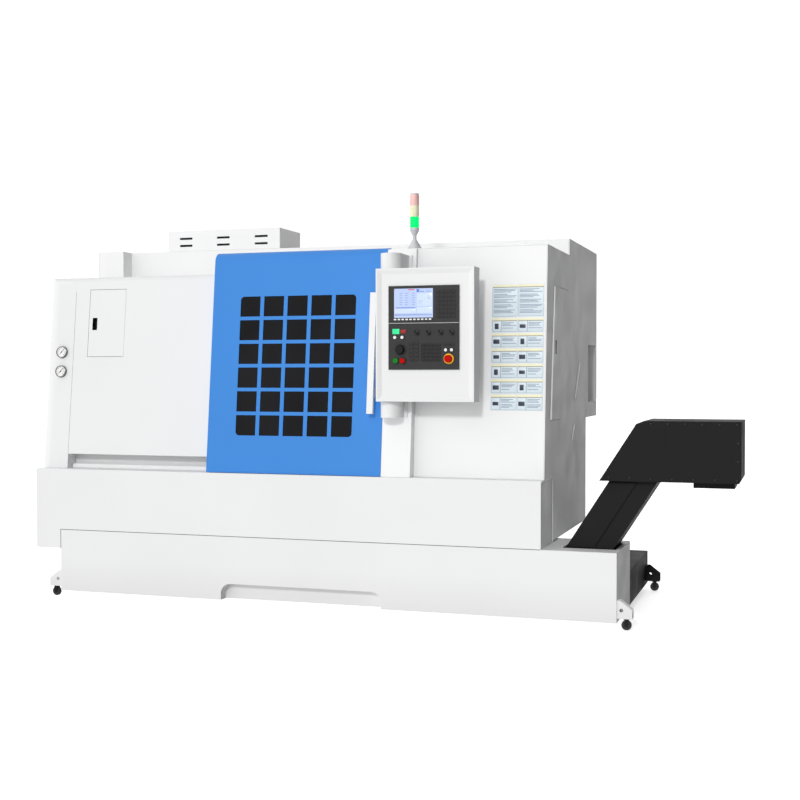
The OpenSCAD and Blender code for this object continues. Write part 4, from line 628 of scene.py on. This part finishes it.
def screen_fields():
    """Bare fields of colour on the screen: a title bar, columns of short bars, a rule and a foot."""
    bar = lit("screen_bar", (0.08, 0.20, 0.66), 1.0)
    pale = lit("screen_pale", (0.64, 0.76, 0.98), 1.0)
    dim = lit("screen_dim", (0.26, 0.37, 0.70), 1.0)
    red = lit("screen_red", (0.72, 0.09, 0.13), 1.0)
    piece = Piece(bar, pale, dim, red)

    def field(left, width, top, height, finish):
        x0, z1 = SCREEN_X + left, SCREEN_Z - top
        piece.block((x0, x0 + width), (-1.5, -0.8), (z1 - height, z1), finish, fascia, 0.1)
    field(2, 4, 3, 5, red)
    field(72, 34, 3, 5, red)
    field(116, 14, 3, 15, bar)
    field(133, 22, 12, 6, dim)
    field(163, 28, 12, 4, dim)
    for row in range(6):
        for left in (28, 56, 92):
            field(left, 17 - 3 * (row % 2), 22 + 11 * row, 3, dim)
    field(118, 76, 24, 62, pale)
    for row in range(4):
        field(172, 14, 28 + 7 * row, 3, dim)
        field(124, 26 - 5 * (row % 3), 60 + 6 * row, 2, dim)
    field(8, 102, 92, 4, bar)
    field(3, 109, 100, 20, pale)
    field(118, 76, 92, 28, pale)
    field(3, 191, 126, 6, dim)
    field(3, 14, 127, 4, red)
    piece.done("screen_fields", "pendant")


# Dark filters inside the vent box and behind the rear louvres, so that the slots don't look into the light
PLEAT_PITCH = 12
PLEAT_W = 9
PLEAT_EDGE = 1.5


def pleats(piece, matrix, x, count, y, z):
    """Row of upright pleats from a first x."""
    for i in range(count):
        left = x + i * PLEAT_PITCH
        piece.block((left, left + PLEAT_W), y, z, RUBBER, matrix, PLEAT_EDGE)


def vent_filter():
    lo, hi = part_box("vent_box")
    w = (hi[0] - lo[0]) / MM
    h = (hi[2] - lo[2]) / MM
    margin = 20
    matrix = local(lo)
    piece = Piece(RUBBER)
    pleats(piece, matrix, margin, int((w - 2 * margin) // PLEAT_PITCH), (14, 20), (6, h - 12))
    piece.block((margin / 2, w - margin / 2), (20, 23), (4, h - 8), RUBBER, matrix)
    piece.done("vent_filter", "machine", smooth=False)


HEAD_BOLT_R = 6.0
HEAD_EDGE = 15
HEAD_RIGHT = 568
HEAD_Z = (SILL + 4 + HEAD_EDGE, SILL + 296 - HEAD_EDGE)
TOP_BOLTS_X = range(148, 549, 80)
FOOT_BOLTS_X = range(-52, 549, 100)
END_BOLTS_RISE = (88, 175)


def bolt(piece, matrix, r):
    """Button-head bolt with a socket, its head on local y = 0."""
    shares = ((0.42, -0.28), (0.46, -0.58), (0.74, -0.52), (1, -0.2), (1, 0.1))
    piece.turn([(0.1, -0.28 * r)] + [(a * r, b * r) for a, b in shares], BOLT, matrix, 24)


def head_bolts():
    """Bolts round the conveyor head's front and rear plates."""
    lo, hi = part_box("conveyor_head")
    piece = Piece(BOLT)
    low, high = HEAD_Z
    spots = [(x, high) for x in TOP_BOLTS_X] + [(x, low) for x in FOOT_BOLTS_X]
    spots += [(HEAD_RIGHT - HEAD_EDGE, low + rise) for rise in END_BOLTS_RISE]
    for y, turn in ((lo[1], 0), (hi[1], 180)):
        for x, z in spots:
            spot = at(x, 0, z)
            spot.y = y
            bolt(piece, local(spot, (turn, "Z")), HEAD_BOLT_R)
    piece.done("conveyor_head_bolts", "machine")


REAR_COVERS = 3
REAR_GAP = 24 * MM
REAR_PROUD = 6 * MM
REAR_WALL = 4 * MM
HINGE_SHARES = (0.16, 0.84)
LATCH_SHARES = (0.3, 0.7)
LOUVRE_RISE = 90 * MM
LOUVRE_DROP = 240 * MM
rear_lo, rear_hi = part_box("rear_cabinet")
REAR_PITCH = (rear_hi[0] - rear_lo[0] - REAR_GAP) / REAR_COVERS


def hinge(piece, spot):
    """Two knuckles of a hinge barrel."""
    angles = [math.pi * k / 12 for k in range(24)]
    for z0, z1 in ((-36, -1), (1, 36)):
        profile = ((4.2, z0), (5.0, z0 + 0.8), (5.0, z1 - 0.8), (4.2, z1))
        rings = [[(r * math.cos(a), r * math.sin(a), z) for a in angles] for r, z in profile]
        piece.faces(rings, ZINC, spot)


def latch(piece, spot):
    """Round latch with a slot."""
    piece.turn([(0.1, -5.0), (6.4, -4.8), (8.0, -3.8), (8.6, -1.0), (8.6, 0.4)], ZINC, spot, 28)
    piece.block((-0.7, 0.7), (-5.2, -4.6), (-5.0, 5.0), INK, spot)


def in_rear_gap(i, share, *turns):
    """Frame in a gap between the rear covers, at a share of the cabinet's height."""
    x = rear_lo[0] + REAR_GAP / 2 + i * REAR_PITCH
    z = rear_lo[2] + share * (rear_hi[2] - rear_lo[2])
    return local((x, rear_hi[1] - REAR_PROUD, z), *turns)


def rear_fittings():
    """A hinge at each rear cover's low x and slotted latches at its high x."""
    piece = Piece(ZINC, INK)
    for i in range(REAR_COVERS):
        for share in HINGE_SHARES:
            hinge(piece, in_rear_gap(i, share))
        for share in LATCH_SHARES:
            latch(piece, in_rear_gap(i + 1, share, (180, "Z")))
    piece.done("rear_cover_fittings", "machine")


MAT_X = (-122, 121)
MAT_Z = (-8, 137)
MAT_PLEATS = 20


def rear_filters():
    """Pleated dark filter mats behind the rear covers' louvres."""
    piece = Piece(RUBBER)
    y = rear_hi[1] - REAR_PROUD - REAR_WALL
    for i in range(REAR_COVERS):
        x = rear_lo[0] + REAR_GAP / 2 + (i + 0.5) * REAR_PITCH
        for z in (rear_lo[2] + LOUVRE_RISE, rear_hi[2] - LOUVRE_DROP):
            mat = local((x, y, z), (180, "Z"))
            pleats(piece, mat, MAT_X[0] + 2, MAT_PLEATS, (0.5, 7), MAT_Z)
            piece.block(MAT_X, (7, 9), MAT_Z, RUBBER, mat)
    piece.done("rear_filters", "machine", smooth=False)


INCLINE_Z = (342, 664)
INCLINE_X = -261.6
INCLINE_RUN = 0.637
INCLINE_W = 134


def incline_cover():
    """Lapped cover plate on the front of the conveyor's incline."""
    front = at(0, 0, 0)
    front.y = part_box("conveyor_trough")[0][1]

    def ring(y, inset):
        low, high = INCLINE_Z[0] + inset, INCLINE_Z[1] - inset
        foot, head = (INCLINE_X + INCLINE_RUN * (z - INCLINE_Z[0]) for z in (low, high))
        return [
            (foot + inset, y, low), (foot + INCLINE_W - inset, y, low),
            (head + INCLINE_W - inset, y, high), (head + inset, y, high),
        ]
    piece = Piece(BLACK)
    piece.faces([ring(0.5, 0), ring(-1.2, 0), ring(-1.8, 0.8)], BLACK, local(front))
    piece.done("incline_cover", "machine")


SEAM_Z = (334.6, 337.6)
SEAM_LEFT = -3047
SEAM_FOOT = 233
HEM_Y = (291, 300)
HEM_H = 8


def skirt_trim():
    """Sealing strip between the skirt and the base tank, and the skirt's folded hem at its right end."""
    piece = Piece(SEAL_AND_SEAM_SHADE, WHITE)
    front = place(0, 0, 0)
    strip, hem, top = (-0.6, 1.5), (-3.5, 0.5), SILL - 1
    piece.block((SEAM_LEFT, SIDE_X - 1), strip, SEAM_Z, SEAL_AND_SEAM_SHADE, front, 0.3)
    piece.block((SEAM_LEFT - 1.6, SEAM_LEFT + 1.4), strip, (SEAM_FOOT, SEAM_Z[1] - 0.6), SEAL_AND_SEAM_SHADE, front, 0.3)
    end = place(SIDE_X, 0, 0, (90, "Z"))
    piece.block(HEM_Y, hem, (SEAM_Z[1] + 0.4, top), WHITE, end, 1.2)
    piece.block((3, HEM_Y[0]), hem, (top - HEM_H, top), WHITE, end, 1.2)
    piece.done("skirt_trim", "machine")


SKIN_Z = (960, 1635)
SKIN_FRONT = (233, 331)
SKIN_BACK = 711
SKIN_CORNER = ((515, 960), (703, 1172))
SKIN_MID = Vector((480, 1300))
SKIN_PROUD = 7.0
SKIN_EDGE = 1.2
PULL_ROOM = (3, 2)


def skin_outlines():
    """The side door's skin and the hole round its finger pull, as (y, z) points."""
    low, high = SIDE_PULL[1], SIDE_PULL[1] + PULL_H

    def front(z):
        share = (z - SKIN_Z[0]) / (SKIN_Z[1] - SKIN_Z[0])
        return SKIN_FRONT[0] + share * (SKIN_FRONT[1] - SKIN_FRONT[0])
    outer = [(SKIN_FRONT[0], SKIN_Z[0]), *SKIN_CORNER]
    outer += [(SKIN_BACK, z) for z in (SKIN_CORNER[1][1], low, high, SKIN_Z[1])]
    outer += [(front(z), z) for z in (SKIN_Z[1], high, low)]
    y0, y1 = SIDE_PULL[0] - PULL_ROOM[0], SIDE_PULL[0] + SIDE_PULL_W + PULL_ROOM[0]
    z0, z1 = low - PULL_ROOM[1], high + PULL_ROOM[1]
    return outer, [(y0, z0), (y1, z0), (y1, z1), (y0, z1)]


def side_door_skin():
    """Raised outer skin of the side access door, open round the finger pull."""
    outer, hole = skin_outlines()
    piece = Piece(WHITE)
    matrix = place(SIDE_X, 0, 0)

    def ring(points, x, inset):
        drawn = [Vector(p) - (Vector(p) - SKIN_MID).normalized() * inset for p in points]
        return [piece.mesh.verts.new(matrix @ Vector((x, q.x, q.y))) for q in drawn]
    root = -0.5
    walls = [ring(outer, root, 0), ring(outer, SKIN_PROUD - 1, 0), ring(outer, SKIN_PROUD, SKIN_EDGE)]
    cut = [ring(hole, SKIN_PROUD, 0), ring(hole, root, 0)]
    for rings in (walls, cut):
        for low, high in zip(rings, rings[1:]):
            for i in range(len(low)):
                j = (i + 1) % len(low)
                piece.mesh.faces.new((low[i], low[j], high[j], high[i]))
    o, h = walls[-1], cut[0]
    for loop in (
        (o[0], o[1], o[2], o[3], o[4], h[1], h[0], o[9]), (o[9], h[0], h[3], o[8]),
        (h[1], o[4], o[5], h[2]), (o[8], h[3], h[2], o[5], o[6], o[7]),
    ):
        piece.mesh.faces.new(loop)
    piece.done("side_door_skin", "side_hatch")


JOINT_RISE = 76
ROLLED_EDGE = 75


def corner_seam_shade():
    """Dark strip along the joint between the left corner and the left front panel: painted shade in the
    joint.
    """
    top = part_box("left_front_panel")[1][2]
    foot = SILL + JOINT_RISE
    piece = Piece(SEAL_AND_SEAM_SHADE)
    seam = on_front(LEFT_X, foot, LEFT_FOOT, FRONT_LEAN)
    height = (top - ORIGIN.z) / MM - foot - ROLLED_EDGE
    piece.block((-0.6, 0.6), (-0.4, 0.5), (0, height), SEAL_AND_SEAM_SHADE, seam, 0.1)
    piece.done("corner_seam_shade", "machine")


RIBS = ((923, 1054, 255), (835, 829, 103))
RIB_LEAN = 38
RIB_W = 6
RIB_PROUD = 6


def side_ribs():
    """Two slanting ribs pressed out of the right side panel."""
    piece = Piece(WHITE)
    for y, z, length in RIBS:
        rib = place(SIDE_X, y, z, (90, "Z"), (RIB_LEAN, "Y"))
        piece.block((0, RIB_W), (-RIB_PROUD, 0.5), (0, length), WHITE, rib, 1.2)
    piece.done("side_ribs", "machine")


# Floor, light and camera
FLOOR_REACH = 60.0
FLOOR_GLOW = 0.62
KEY_AT = (1.55, -22.2, 9.9)
KEY_AIM = (0, 0, 0.9)
KEY_SIZE = 2.6
KEY_POWER = 1800
CAMERA_AT = (857.8, -6005.4, 1182.9)
CAMERA_YAW = math.radians(17.92)
CAMERA_PITCH = math.radians(1.12)
CAMERA_LENS = 56.65
SENSOR_W = 36.0


def stage():
    """Pale floor that lights nothing but itself."""
    floor = bpy.data.meshes.new("floor")
    a, b = -FLOOR_REACH, FLOOR_REACH
    floor.from_pydata([(a, a, 0), (b, a, 0), (b, b, 0), (a, b, 0)], [], [(0, 1, 2, 3)])
    f = Finish("pale_floor")
    tone = f.ramp(f.noise(0.4, 3), (0.3, (0.90, 0.90, 0.90, 1)), (0.7, (0.94, 0.94, 0.94, 1)))
    f.link(tone, "Base Color")
    f.set(Roughness=0.8, Emission_Color=(1, 1, 1, 1), Emission_Strength=FLOOR_GLOW)
    floor.materials.append(f.material)
    obj = bpy.data.objects.new("floor", floor)
    obj.visible_diffuse = False
    obj.visible_glossy = False
    bpy.context.scene.collection.objects.link(obj)


def area_light(name, position, target, size, power):
    data = bpy.data.lights.new(name, "AREA")
    data.shape = "DISK"
    data.size = size
    data.energy = power
    obj = bpy.data.objects.new(name, data)
    obj.location = position
    obj.rotation_euler = (Vector(target) - Vector(position)).to_track_quat("-Z", "Y").to_euler()
    bpy.context.scene.collection.objects.link(obj)


def camera():
    """Camera fitted to the photograph: yaw to the front right, a slight pitch down."""
    data = bpy.data.cameras.new("camera")
    data.sensor_fit = "HORIZONTAL"
    data.sensor_width = SENSOR_W
    data.lens = CAMERA_LENS
    data.clip_end = 200.0
    obj = bpy.data.objects.new("camera", data)
    obj.location = at(*CAMERA_AT)
    level = math.cos(CAMERA_PITCH)
    ahead = Vector((-math.sin(CAMERA_YAW) * level, math.cos(CAMERA_YAW) * level, -math.sin(CAMERA_PITCH)))
    obj.rotation_euler = ahead.to_track_quat("-Z", "Y").to_euler()
    bpy.context.scene.collection.objects.link(obj)
    bpy.context.scene.camera = obj


# Surround: rises and leftward shares of a direction between which its light fades in or out
WAY_LEFT = (-0.85, -0.04, -0.12)
BAND_FOOT = (-0.08, -0.05)
BAND_TOP = (0.16, 0.30)
BAND_FADE = (-0.9, -0.5)
BAND_LEAST = 0.1
AROUND_FADE = (-0.44, -0.18)
AROUND_GLOW = 1.09


def studio():
    """White surround that dims to the right, less so in a band along the horizon."""
    world = bpy.data.worlds.new("studio")
    world.use_nodes = True
    tree = world.node_tree

    def put(value, socket):
        if isinstance(value, bpy.types.NodeSocket):
            tree.links.new(value, socket)
        else:
            socket.default_value = value

    def ramp(value, start, end, low, high):
        """Value mapped from start..end to low..high."""
        node = tree.nodes.new("ShaderNodeMapRange")
        names = ("Value", "From Min", "From Max", "To Min", "To Max")
        for name, given in zip(names, (value, start, end, low, high)):
            put(given, node.inputs[name])
        return node.outputs["Result"]

    def combined(kind, operation, a, b):
        """Value of a maths node over two outputs or constants."""
        node = tree.nodes.new(kind)
        node.operation = operation
        put(a, node.inputs[0])
        put(b, node.inputs[1])
        return node.outputs["Value"]
    way = tree.nodes.new("ShaderNodeTexCoord").outputs["Generated"]
    split = tree.nodes.new("ShaderNodeSeparateXYZ")
    put(way, split.inputs["Vector"])
    rise = split.outputs["Z"]
    leftward = combined("ShaderNodeVectorMath", "DOT_PRODUCT", way, WAY_LEFT)
    band = ramp(rise, *BAND_TOP, ramp(rise, *BAND_FOOT, 0.0, 1.0), 0.0)
    horizon = combined("ShaderNodeMath", "MULTIPLY", band, ramp(leftward, *BAND_FADE, BAND_LEAST, 1.0))
    around = ramp(leftward, *AROUND_FADE, 0.0, AROUND_GLOW)
    background = tree.nodes["Background"]
    put(combined("ShaderNodeMath", "MAXIMUM", horizon, around), background.inputs["Strength"])
    put((1, 1, 1, 1), background.inputs["Color"])
    return world


door_pulls()
gauge_dials()
info_plate()
pendant_controls()
screen_fields()
vent_filter()
head_bolts()
rear_fittings()
rear_filters()
corner_seam_shade()
side_ribs()
incline_cover()
skirt_trim()
side_door_skin()

stage()
camera()
scene = bpy.context.scene
scene.view_settings.view_transform = "Standard"
scene.world = studio()
area_light("key", KEY_AT, KEY_AIM, KEY_SIZE, KEY_POWER)
